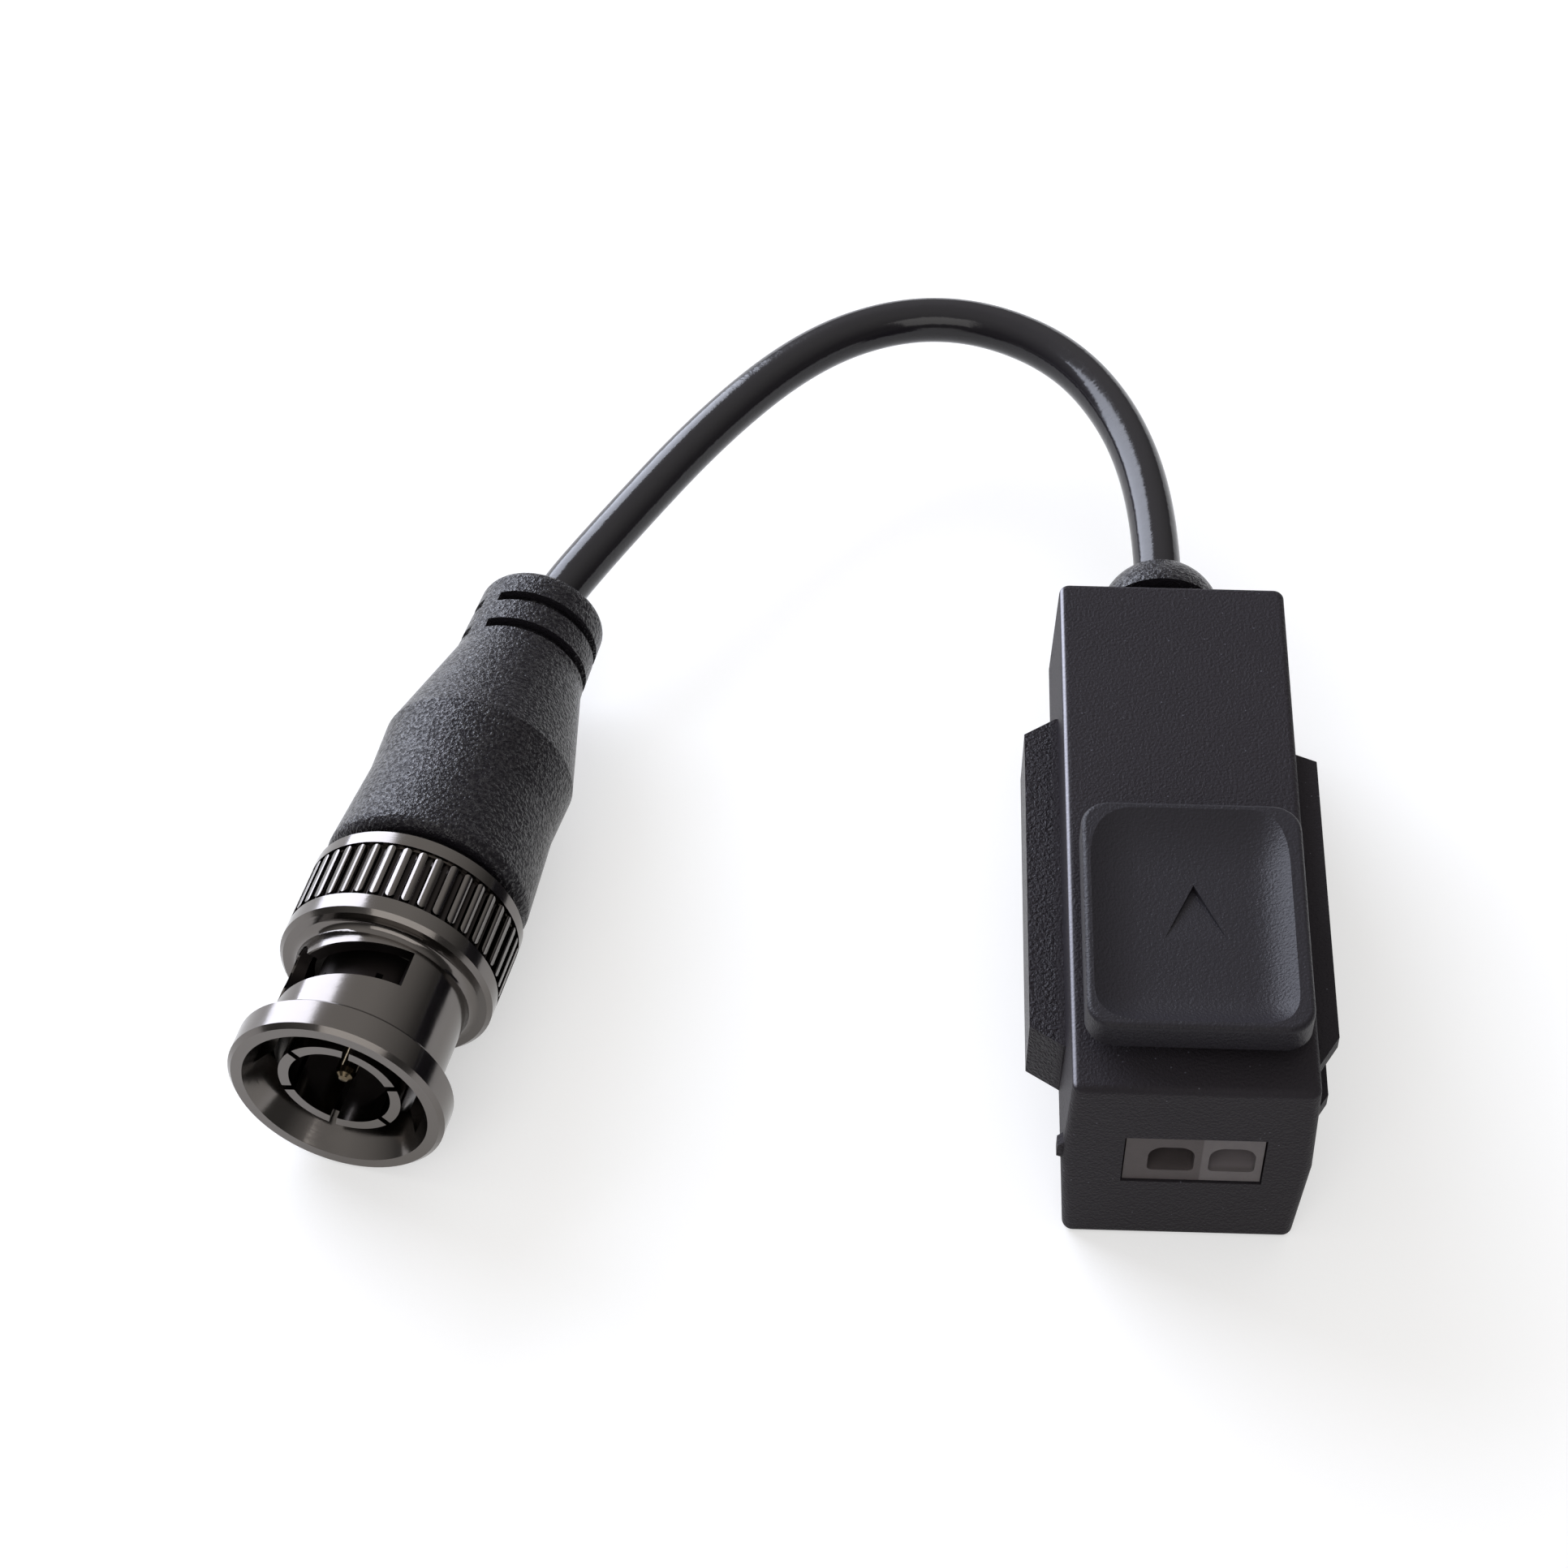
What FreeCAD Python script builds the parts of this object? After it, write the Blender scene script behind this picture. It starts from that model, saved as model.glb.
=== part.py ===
import FreeCAD, Part
import math
import os
import re
import Sketcher

# Video balun with a cable tail: a small moulded housing with two push-in wire
# terminals at its near end, and a BNC plug on a short coaxial cable at its far end.
# Frame: millimetres, +Z up, +Y from the terminals to the cable exit, origin at the
# middle of the housing's underside. The plug lies on the same surface, to the left.

Vector = FreeCAD.Vector
UP = Vector(0, 0, 1)
# Where sketch geometry is first drawn, before its constraints put it in place
ANYWHERE = Vector(10, 10, 0)

# Driving dimensions, each with what it measures
SIZES = {
    # Housing
    "housing_length": (42.5, "terminal face to cable face"),
    "housing_height": (15.4, "underside to top"),
    "parting_height": (7.3, "underside to the joint of the two shells"),
    "top_width": (15.2, "width at the top"),
    "parting_width": (15.7, "width at the joint of the shells"),
    "base_width": (14.6, "width at the underside"),
    "wall": (1.3, "wall of both shells"),
    "upright_round": (0.7, "radius of the four upright corners"),
    "top_round": (0.45, "radius round the top"),
    "base_round": (0.5, "radius round the underside"),
    "tongue_height": (1.0, "tongue of the lower shell above the joint"),
    "tongue_thickness": (0.6, "thickness of that tongue"),
    "joint_gap": (0.1, "gap round the tongue"),
    # Side rail and side channel that hook units together
    "rail_middle": (-1.8, "middle of the rail along the housing"),
    "rail_length": (27.3, "length of the rail at its root"),
    "rail_slant": (1.45, "how much each end of the rail slants back to its edge"),
    "rail_height": (4.7, "height of the rail above the shell joint"),
    "rail_depth": (2.1, "how far the rail stands out"),
    "lip_gap": (0.15, "gap between a neighbour's rail and the lips"),
    "seat_play": (0.1, "gap between a neighbour's rail and the floor of the channel"),
    "lip_thickness": (1.05, "thickness of the lips of the channel"),
    "lip_depth": (1.4, "how far the lips stand out"),
    "lip_middle": (-4.6, "middle of the lips along the housing"),
    "lip_length": (25.6, "length of the lips at their root"),
    "lip_near_slant": (2.3, "how much the near ends of the lips slant back"),
    "lip_far_slant": (0.6, "how much the far ends of the lips slant back"),
    "nub_place": (0.9, "middle of the small snap nub behind the near face"),
    "nub_width": (0.8, "width of the snap nub"),
    "nub_height": (2.0, "height of the snap nub"),
    "nub_depth": (0.3, "how far the snap nub stands out"),
    # Wire terminals
    "pitch": (3.81, "distance between the two wires"),
    "terminal_shift": (0.37, "terminals off the housing's middle"),
    "terminal_floor": (5.95, "underside of the terminals"),
    "terminal_height": (4.4, "height of the terminals"),
    "terminal_depth": (9.0, "depth of the terminals"),
    "terminal_recess": (0.15, "terminals behind the near face"),
    "end_cap": (1.0, "thickness of the cap at the row's left end"),
    "terminal_gap": (0.1, "gap round the terminals in the shells"),
    "entry_width": (2.9, "width of a wire entry"),
    "entry_height": (2.4, "height of a wire entry"),
    "entry_arch": (0.95, "radius of a wire entry's upper corners"),
    "entry_corner": (0.35, "radius of a wire entry's lower corners"),
    "entry_rise": (2.2, "middle of a wire entry above the terminal's underside"),
    "entry_depth": (2.2, "depth of a wire entry's wide mouth"),
    "cell_wall": (0.5, "side walls of a terminal's inner cell"),
    "strip": (0.3, "thickness of the spring strip"),
    "bar_thickness": (0.5, "thickness of the contact bar"),
    "solder_pin": (0.8, "side of the square solder pins"),
    # Push pad
    "pad_width": (14.0, "width of the push pad"),
    "pad_length": (18.0, "length of the push pad"),
    "pad_thickness": (2.0, "thickness of the push pad"),
    "pad_rise": (1.2, "pad above the housing's top at rest"),
    "pad_shift": (0.1, "pad off the housing's middle"),
    "pad_middle": (-9.8, "middle of the pad along the housing"),
    "pad_travel": (1.0, "how far the pad goes down"),
    "pad_corner": (1.9, "corner radius of the pad"),
    "pad_edge": (0.35, "radius of the pad's outer edge"),
    "rim": (0.5, "width of the raised rim round the dish"),
    "right_rim": (0.9, "width of that rim on the right"),
    "dish_depth": (0.9, "depth of the finger dish"),
    "left_slope": (3.2, "width of the dish's slope on the left"),
    "right_slope": (2.4, "width of the dish's slope on the right"),
    "near_slope": (2.6, "length of the dish's slope at its near end"),
    "far_slope": (4.6, "length of the dish's slope at its far end"),
    "mark_width": (4.0, "width of the triangular mark"),
    "mark_length": (4.4, "length of the triangular mark"),
    "mark_depth": (0.4, "depth of the triangular mark at its tip"),
    "mark_middle": (0.7, "mark's middle beyond the pad's middle"),
    "plunger_width": (1.9, "plungers below the pad, across"),
    "plunger_length": (2.4, "plungers below the pad, along"),
    "plunger_place": (5.9, "plungers' middle behind the near face"),
    "plunger_reach": (0.5, "plungers' ends below the terminals' top"),
    "hook_width": (3.0, "width of the two snap hooks"),
    "hook_thickness": (1.0, "thickness of the snap hooks"),
    "hook_catch": (0.6, "how far a snap hook reaches under the top"),
    "hook_spread": (4.0, "snap hooks off the pad's middle"),
    "hook_place": (5.0, "snap hooks beyond the pad's middle"),
    "slide_gap": (0.15, "gap round plungers and hooks in the top"),
    # Circuit board and what is on it
    "board_thickness": (1.0, "thickness of the circuit board"),
    "board_gap": (0.25, "gap between the board and the walls"),
    "board_end_room": (1.25, "room between the board and the wall at the cable"),
    "post": (1.6, "side of the posts under the board"),
    "core_radius": (3.9, "outer radius of the ferrite ring"),
    "core_bore": (1.9, "bore radius of the ferrite ring"),
    "core_height": (3.2, "height of the ferrite ring"),
    "core_lift": (0.6, "ferrite ring above the board"),
    "core_place": (2.5, "middle of the ferrite ring along the housing"),
    "turn_thickness": (0.5, "thickness of the copper turns"),
    "winding_gap": (0.06, "gap between the ferrite ring and the turns"),
    "winding_sweep": (140.0, "degrees of the ring that a winding covers"),
    "chip_length": (2.0, "length of the small chips"),
    "chip_width": (1.25, "width of the small chips"),
    "chip_height": (0.8, "height of the small chips"),
    "diode_length": (4.3, "length of the surge diode"),
    "diode_width": (2.6, "width of the surge diode"),
    "diode_height": (2.2, "height of the surge diode"),
    "chip_place": (10.5, "chips' and diode's place along the housing"),
    # Cable grommet
    "grommet_shift": (-0.35, "cable's middle off the housing's middle"),
    "grommet_height": (10.6, "cable's middle above the underside"),
    "grommet_neck": (2.65, "radius of the neck in the wall"),
    "grommet_flange": (3.5, "radius of the flange inside the wall"),
    "grommet_collar": (3.2, "radius of the thin collar outside the wall"),
    "grommet_step": (0.6, "thickness of the collar and of the groove after it"),
    "dome_radius": (4.25, "radius of the dome"),
    "seat_gap": (0.05, "gap between the grommet and the shells"),
    "signal_lead_radius": (0.75, "radius of the insulated core lead"),
    "shield_lead_radius": (0.5, "radius of the twisted screen lead"),
    # Cable
    "cable_diameter": (3.3, "outer diameter of the cable"),
    # Plug: its place and its pieces, lengths counted back from the front rim
    "plug_front_x": (-53.62, "middle of the front rim, across"),
    "plug_front_y": (-17.64, "middle of the front rim, along"),
    "plug_heading": (76.15, "degrees from +X to the plug's axis, front to rear"),
    "nut_radius": (7.25, "radius of the rim and of the knurled band"),
    "rim_length": (2.4, "length of the front rim"),
    "neck_radius": (5.8, "radius of the neck"),
    "neck_round": (0.6, "radius where the neck meets rim and band"),
    "band_start": (9.6, "start of the knurled band"),
    "nut_length": (16.6, "length of the coupling nut"),
    "nut_chamfer": (0.3, "chamfer on the outer edges of the nut"),
    "nut_bore": (4.9, "bore radius, for the socket's barrel"),
    "mouth_radius": (6.2, "radius of the flared mouth"),
    "mouth_depth": (2.4, "depth of the flared mouth"),
    "web_start": (11.4, "start of the web inside the nut"),
    "web_thickness": (1.2, "thickness of the web"),
    "rear_bore": (6.0, "radius of the nut's rear chamber"),
    "key_turn": (19.0, "degrees that the entry keyways are turned"),
    "key_width": (2.5, "width of the entry keyways"),
    "lug_radius": (5.6, "radius that the entry keyways reach"),
    "slot_width": (2.7, "width of the bayonet slots"),
    "slot_start": (6.1, "middle of the bayonet slot where it starts"),
    "slot_rise": (1.3, "how far the slot climbs to its seat"),
    "slot_sweep": (99.0, "degrees from the keyway to the seat"),
    "seat_radius": (1.5, "radius of the round seat at the slot's end"),
    "ridge_count": (42, "number of knurl ridges"),
    "ridge_width": (0.56, "width of a knurl ridge"),
    "ridge_height": (0.35, "height of the knurl ridges"),
    "knurl_front": (1.4, "plain band before the knurl"),
    "knurl_rear": (1.2, "plain band after the knurl"),
    "ridge_end_gap": (0.18, "gap between the ridges' ends and the plain bands"),
    "journal_radius": (4.2, "radius of the journal the nut turns on"),
    "journal_gap": (0.06, "running clearance of the nut on its journal"),
    "thrust_gap": (0.06, "axial clearance of the nut"),
    "contact_front": (0.9, "slotted contact behind the front rim"),
    "contact_radius": (4.1, "outer radius of the slotted contact"),
    "contact_wall": (0.7, "wall of the slotted contact"),
    "slit_count": (3, "slits right across the contact"),
    "slit_width": (0.45, "width of a slit"),
    "slit_depth": (6.5, "depth of a slit"),
    "slit_turn": (11.0, "degrees that the slits are turned"),
    "shoulder_front": (10.0, "front of the body's shoulder"),
    "shoulder_radius": (4.6, "radius of the body's shoulder"),
    "ring_place": (14.0, "front of the retaining ring's groove"),
    "ring_thickness": (0.5, "thickness of the retaining ring"),
    "ring_groove": (3.75, "radius at the bottom of that groove"),
    "ring_radius": (5.0, "outer radius of the retaining ring"),
    "ring_opening": (60.0, "degrees of the ring that are open"),
    "washer_thickness": (0.3, "thickness of the dished spring washer"),
    "washer_radius": (5.6, "outer radius of the spring washer"),
    "gasket_thickness": (0.8, "thickness of the gasket"),
    "insulator_front": (5.8, "front of the insulator"),
    "insulator_rear": (18.0, "rear of the insulator"),
    "pin_radius": (0.675, "radius of the centre pin"),
    "pin_barrel": (0.85, "radius of the pin's barrel inside the insulator"),
    "pin_front": (1.6, "tip of the centre pin behind the front rim"),
    "pin_rear": (19.0, "rear of the centre pin"),
    "collar_radius": (5.2, "radius of the body's rear collar"),
    "collar_start": (15.2, "start of the rear collar"),
    "collar_end": (18.4, "end of the rear collar"),
    "tail_radius": (2.3, "radius of the crimp tail"),
    "tail_bore": (1.7, "bore of the crimp tail"),
    "tail_end": (26.0, "end of the crimp tail"),
    "ferrule_wall": (0.5, "wall of the crimp ferrule"),
    "fit_gap": (0.05, "gap between pieces fitted together in the plug"),
    # Moulded boot
    "boot_start": (17.4, "front of the boot"),
    "boot_radius": (7.1, "radius of the boot's grip at its front"),
    "boot_edge": (0.9, "radius of the boot's front edge"),
    "waist_place": (25.0, "narrowest place of the grip"),
    "waist_radius": (6.55, "radius of the grip at its narrowest"),
    "grip_end": (28.9, "end of the boot's grip"),
    "grip_end_radius": (6.7, "radius at the end of the grip"),
    "cone_end": (37.4, "end of the boot's cone"),
    "relief_radius": (4.62, "radius where the strain relief starts"),
    "boot_end": (43.7, "rear end of the boot"),
    "boot_end_radius": (4.45, "radius at the rear end"),
    "boot_end_round": (0.9, "radius of the rear edge"),
    "relief_groove": (0.85, "width of the two ring grooves"),
    "relief_depth": (0.8, "depth of the ring grooves"),
    "relief_first": (38.25, "middle of the first ring groove"),
    "relief_second": (40.9, "middle of the second ring groove"),
    "relief_spine": (20.0, "degrees of each spine that crosses the grooves"),
    "spine_turn": (50.0, "degrees that the spines are turned"),
    "cable_seat": (40.5, "where the cable starts inside the boot's mouth"),
    "boot_mouth_gap": (0.3, "gap between the cable and the boot's mouth"),
}

# Route of the cable between the grommet and the boot, chosen by hand: it leaves the
# grommet level, swings round to the left, comes back down to the plug's height and
# bends into the boot's mouth
CABLE_ROUTE = [
    (-0.35, 32.87, 10.6),
    (-2.16, 42.00, 10.4),
    (-6.07, 49.33, 10.0),
    (-12.19, 53.48, 9.6),
    (-18.64, 53.99, 9.2),
    (-25.29, 50.71, 8.8),
    (-32.10, 42.99, 8.3),
    (-39.44, 31.51, 7.6),
]
LAST_RUN = 3.6
ARC_SHARE = 0.45

# Surface of the finger dish: how square its corners are, and its mesh of poles
DISH_SQUARENESS = 2.6
DISH_COLUMNS = 20
DISH_ROWS = 26

doc = FreeCAD.newDocument("video_balun")
sheet = doc.addObject("Spreadsheet::Sheet", "Sizes")
for row, (alias, (value, note)) in enumerate(SIZES.items(), start=1):
    sheet.set(f"A{row}", alias)
    sheet.set(f"B{row}", str(value))
    sheet.set(f"C{row}", note)
    sheet.setAlias(f"B{row}", alias)
doc.recompute()

sub_parts = {}


def size(alias):
    """A driving dimension, read from the sheet."""
    return float(sheet.get(alias))


def cells(text):
    """An expression with each alias in it pointed at its cell."""
    def point_at(match):
        word = match.group(0)
        return "Sizes." + word if word in SIZES else word
    return re.sub(r"[a-z_]+", point_at, text)


def bind(thing, prop, text):
    thing.setExpression(prop, cells(text))


def new_body(label):
    body = doc.addObject("PartDesign::Body", label)
    body.Label = label
    sub_parts[label] = body
    return body


def new_sketch(body, name, role, offset="0"):
    """An empty sketch on one of the body's own origin planes, moved along its normal."""
    sketch = body.newObject("Sketcher::SketchObject", name)
    plane = [item for item in body.Origin.OriginFeatures if item.Role == role][0]
    sketch.AttachmentSupport = [(plane, "")]
    sketch.MapMode = "FlatFace"
    if offset != "0":
        bind(sketch, ".AttachmentOffset.Base.z", offset)
    return sketch


def place_point(sketch, geometry, vertex, across, upward):
    """Tie one point of the sketch to the origin by two expressions."""
    for kind, text, axis in (("DistanceX", across, -2), ("DistanceY", upward, -1)):
        if text == "0":
            sketch.addConstraint(Sketcher.Constraint("PointOnObject", geometry, vertex, axis))
        else:
            index = sketch.addConstraint(Sketcher.Constraint(kind, -1, 1, geometry, vertex, 1.0))
            bind(sketch, f"Constraints[{index}]", text)


def add_outline(sketch, points):
    """A closed outline of straight lines through points given as expressions."""
    first = sketch.GeometryCount
    count = len(points)
    start = [ANYWHERE + Vector(math.cos(math.tau * i / count), math.sin(math.tau * i / count), 0)
             for i in range(count)]
    for i in range(count):
        sketch.addGeometry(Part.LineSegment(start[i], start[(i + 1) % count]), False)
    for i in range(count):
        following = first + (i + 1) % count
        sketch.addConstraint(Sketcher.Constraint("Coincident", first + i, 2, following, 1))
    for i, (across, upward) in enumerate(points):
        place_point(sketch, first + i, 1, across, upward)


def add_rectangle(sketch, left, right, low, high):
    add_outline(sketch, [(left, low), (right, low), (right, high), (left, high)])


def add_circle(sketch, across, upward, radius):
    circle = sketch.addGeometry(Part.Circle(ANYWHERE, UP, 1), False)
    place_point(sketch, circle, 3, across, upward)
    index = sketch.addConstraint(Sketcher.Constraint("Radius", circle, 1.0))
    bind(sketch, f"Constraints[{index}]", radius)


def thicken(body, kind, name, sketch, length):
    """A pad or pocket, half to each side of its sketch."""
    feature = body.newObject("PartDesign::" + kind, name)
    feature.Profile = sketch
    feature.SideType = "Symmetric"
    bind(feature, "Length", length)
    return feature


def block(body, kind, name, x_span, y_span, z_low, z_high):
    """A pad or pocket with an upright prism's form, between two heights."""
    sketch = new_sketch(body, name + "_plan", "XY_Plane", f"(({z_low}) + ({z_high})) / 2")
    add_rectangle(sketch, *x_span, *y_span)
    return thicken(body, kind, name, sketch, f"({z_high}) - ({z_low})")


def turned(body, name, profile, angle="360"):
    """A revolution about the body's own Z axis of a profile of (radius, place) points."""
    sketch = new_sketch(body, name + "_profile", "XZ_Plane")
    add_outline(sketch, profile)
    feature = body.newObject("PartDesign::Revolution", name)
    feature.Profile = sketch
    feature.ReferenceAxis = (sketch, ["V_Axis"])
    feature.Midplane = True
    bind(feature, "Angle", angle)
    return feature


def rounded(body, name, edges, radius):
    """A fillet on the edges of the body's tip that the test picks."""
    doc.recompute()
    tip = body.Tip
    names = [f"Edge{i + 1}" for i, edge in enumerate(tip.Shape.Edges) if edges(edge)]
    feature = body.newObject("PartDesign::Fillet", name)
    feature.Base = (tip, names)
    bind(feature, "Radius", radius)
    return feature


def chamfered(body, name, edges, width):
    """A chamfer on the edges of the body's tip that the test picks."""
    doc.recompute()
    tip = body.Tip
    names = [f"Edge{i + 1}" for i, edge in enumerate(tip.Shape.Edges) if edges(edge)]
    feature = body.newObject("PartDesign::Chamfer", name)
    feature.Base = (tip, names)
    bind(feature, "Size", width)
    return feature


def ends(edge):
    return [vertex.Point for vertex in edge.Vertexes]


def runs_up(edge):
    """True for a straight edge that climbs from one height to another."""
    points = ends(edge)
    return len(points) == 2 and abs(points[0].z - points[1].z) > 1


def runs_along(edge):
    """True for a straight edge along the housing."""
    points = ends(edge)
    return len(points) == 2 and abs(points[0].x - points[1].x) < 0.01 < abs(points[0].y - points[1].y)


def starts_in_front(edge):
    """True for an edge with one end in the terminals' front face."""
    front = size("terminal_recess") - size("housing_length") / 2
    return any(abs(point.y - front) < 0.01 for point in ends(edge))


def at_height(edge, height):
    return all(abs(point.z - height) < 0.01 for point in ends(edge))


def circle_at(edge, place, radius):
    """True for a full circle about Z at this place and of this radius."""
    curve = edge.Curve
    if not isinstance(curve, Part.Circle):
        return False
    return abs(curve.Center.z - place) < 0.01 and abs(curve.Radius - radius) < 0.01


# Places that several pieces share, as expressions
NEAR = "(-housing_length / 2)"
FAR = "(housing_length / 2)"
BOARD_TOP = "terminal_floor"
BOARD_UNDER = "(terminal_floor - board_thickness)"
TERMINAL_TOP = "(terminal_floor + terminal_height)"
TERMINAL_FRONT = "(-housing_length / 2 + terminal_recess)"
TERMINAL_REAR = "(-housing_length / 2 + terminal_recess + terminal_depth)"
ROW_LEFT = "(terminal_shift - pitch - end_cap / 2)"
ROW_MIDDLE = "(terminal_shift + end_cap / 2)"
ROW_RIGHT = "(terminal_shift + pitch + end_cap / 2)"
CELL_MIDDLES = {"left": f"({ROW_MIDDLE} - pitch / 2)", "right": f"({ROW_MIDDLE} + pitch / 2)"}
PLUNGER_PLACE = "(-housing_length / 2 + plunger_place)"
PAD_UNDER = "(housing_height + pad_rise)"
PAD_TOP = "(housing_height + pad_rise + pad_thickness)"
PLUNGER_END = "(terminal_floor + terminal_height - plunger_reach)"


def hook_openings(body):
    """Openings in the top for the two plungers and the two snap hooks of the pad."""
    sketch = new_sketch(body, "top_openings_plan", "XY_Plane", "housing_height - wall / 2")
    for middle in CELL_MIDDLES.values():
        add_rectangle(sketch, f"{middle} - plunger_width / 2 - slide_gap",
                      f"{middle} + plunger_width / 2 + slide_gap",
                      f"{PLUNGER_PLACE} - plunger_length / 2 - slide_gap",
                      f"{PLUNGER_PLACE} + plunger_length / 2 + slide_gap")
    for side in ("-", "+"):
        middle = f"(pad_shift {side} hook_spread)"
        add_rectangle(sketch, f"{middle} - hook_width / 2 - slide_gap",
                      f"{middle} + hook_width / 2 + slide_gap",
                      "pad_middle + hook_place - hook_thickness / 2 - slide_gap",
                      "pad_middle + hook_place + hook_thickness / 2 + slide_gap")
    return thicken(body, "Pocket", "top_openings", sketch, "wall * 2")


def side_bar(body, name, side, span, slants, depth, low, high):
    """A bar along one side wall with slanted ends, between two heights."""
    near, far = span
    near_slant, far_slant = slants
    sketch = new_sketch(body, name + "_plan", "XY_Plane", f"(({low}) + ({high})) / 2")
    inner = f"{side}(parting_width / 2 - wall / 2)"
    wall_face = f"{side}(parting_width / 2)"
    outer = f"{side}(parting_width / 2 + {depth})"
    add_outline(sketch, [
        (inner, near), (wall_face, near), (outer, f"{near} + {near_slant}"),
        (outer, f"{far} - {far_slant}"), (wall_face, far), (inner, far)])
    return thicken(body, "Pad", name, sketch, f"({high}) - ({low})")


RAIL_SPAN = ("rail_middle - rail_length / 2", "rail_middle + rail_length / 2")
LIP_SPAN = ("lip_middle - lip_length / 2", "lip_middle + lip_length / 2")


def rail_seat(body):
    """The floor of the channel, sunk into the wall as far as a neighbour's rail stands out past the lips."""
    near, far = RAIL_SPAN
    return block(body, "Pocket", "rail_seat",
                 ("parting_width / 2 + lip_depth - rail_depth - seat_play", "parting_width / 2 + wall"),
                 (f"{near} - lip_gap", f"{far} + lip_gap"),
                 "parting_height - lip_gap", "parting_height + rail_height + lip_gap")


def front_opening(body):
    """The opening in the near wall that shows the row of terminals."""
    return block(body, "Pocket", "front_opening",
                 (f"{ROW_LEFT} - terminal_gap", f"{ROW_RIGHT} + terminal_gap"),
                 (f"{NEAR} - wall", f"{NEAR} + wall + joint_gap + tongue_thickness + terminal_gap"),
                 "terminal_floor - terminal_gap", f"{TERMINAL_TOP} + terminal_gap")


# Upper shell: top, upper walls, the hooking rail and the channel's upper lip
def make_upper_shell():
    body = new_body("upper_shell")
    outline = new_sketch(body, "outline", "XZ_Plane")
    add_outline(outline, [("-parting_width / 2", "parting_height"), ("parting_width / 2", "parting_height"),
                          ("top_width / 2", "housing_height"), ("-top_width / 2", "housing_height")])
    thicken(body, "Pad", "outer_form", outline, "housing_length")
    rounded(body, "upright_corners", runs_up, "upright_round")
    top = size("housing_height")
    rounded(body, "top_edges", lambda edge: at_height(edge, top), "top_round")
    hollow = new_sketch(body, "hollow_section", "XZ_Plane")
    add_outline(hollow, [("-parting_width / 2 + wall", "parting_height - wall"),
                         ("parting_width / 2 - wall", "parting_height - wall"),
                         ("parting_width / 2 - wall", "parting_height"),
                         ("top_width / 2 - wall", "housing_height - wall"),
                         ("-top_width / 2 + wall", "housing_height - wall"),
                         ("-parting_width / 2 + wall", "parting_height")])
    thicken(body, "Pocket", "hollow", hollow, "housing_length - wall * 2")
    rail_seat(body)
    side_bar(body, "rail", "-", RAIL_SPAN, ("rail_slant", "rail_slant"), "rail_depth",
             "parting_height", "parting_height + rail_height")
    side_bar(body, "upper_lip", "", LIP_SPAN, ("lip_near_slant", "lip_far_slant"), "lip_depth",
             "parting_height + rail_height + lip_gap",
             "parting_height + rail_height + lip_gap + lip_thickness")
    nub = new_sketch(body, "snap_nub_section", "XZ_Plane", f"-({NEAR} + nub_place)")
    root, tip = "(-(parting_width - wall) / 2)", "(-parting_width / 2 - nub_depth)"
    add_outline(nub, [(root, "parting_height"), (tip, "parting_height + nub_height * 0.2"),
                      (tip, "parting_height + nub_height * 0.7"), (root, "parting_height + nub_height * 1.2")])
    thicken(body, "Pad", "snap_nub", nub, "nub_width")
    front_opening(body)
    hook_openings(body)
    notch = new_sketch(body, "cable_notch_section", "XZ_Plane", f"-({FAR} - wall / 2)")
    add_rectangle(notch, "grommet_shift - grommet_neck - seat_gap", "grommet_shift + grommet_neck + seat_gap",
                  "parting_height - wall", "grommet_height")
    thicken(body, "Pocket", "cable_notch", notch, "wall * 1.5")
    arch = new_sketch(body, "cable_arch_section", "XZ_Plane", f"-({FAR} - wall / 2)")
    add_circle(arch, "grommet_shift", "grommet_height", "grommet_neck + seat_gap")
    thicken(body, "Pocket", "cable_arch", arch, "wall * 1.5")
    return body


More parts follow.
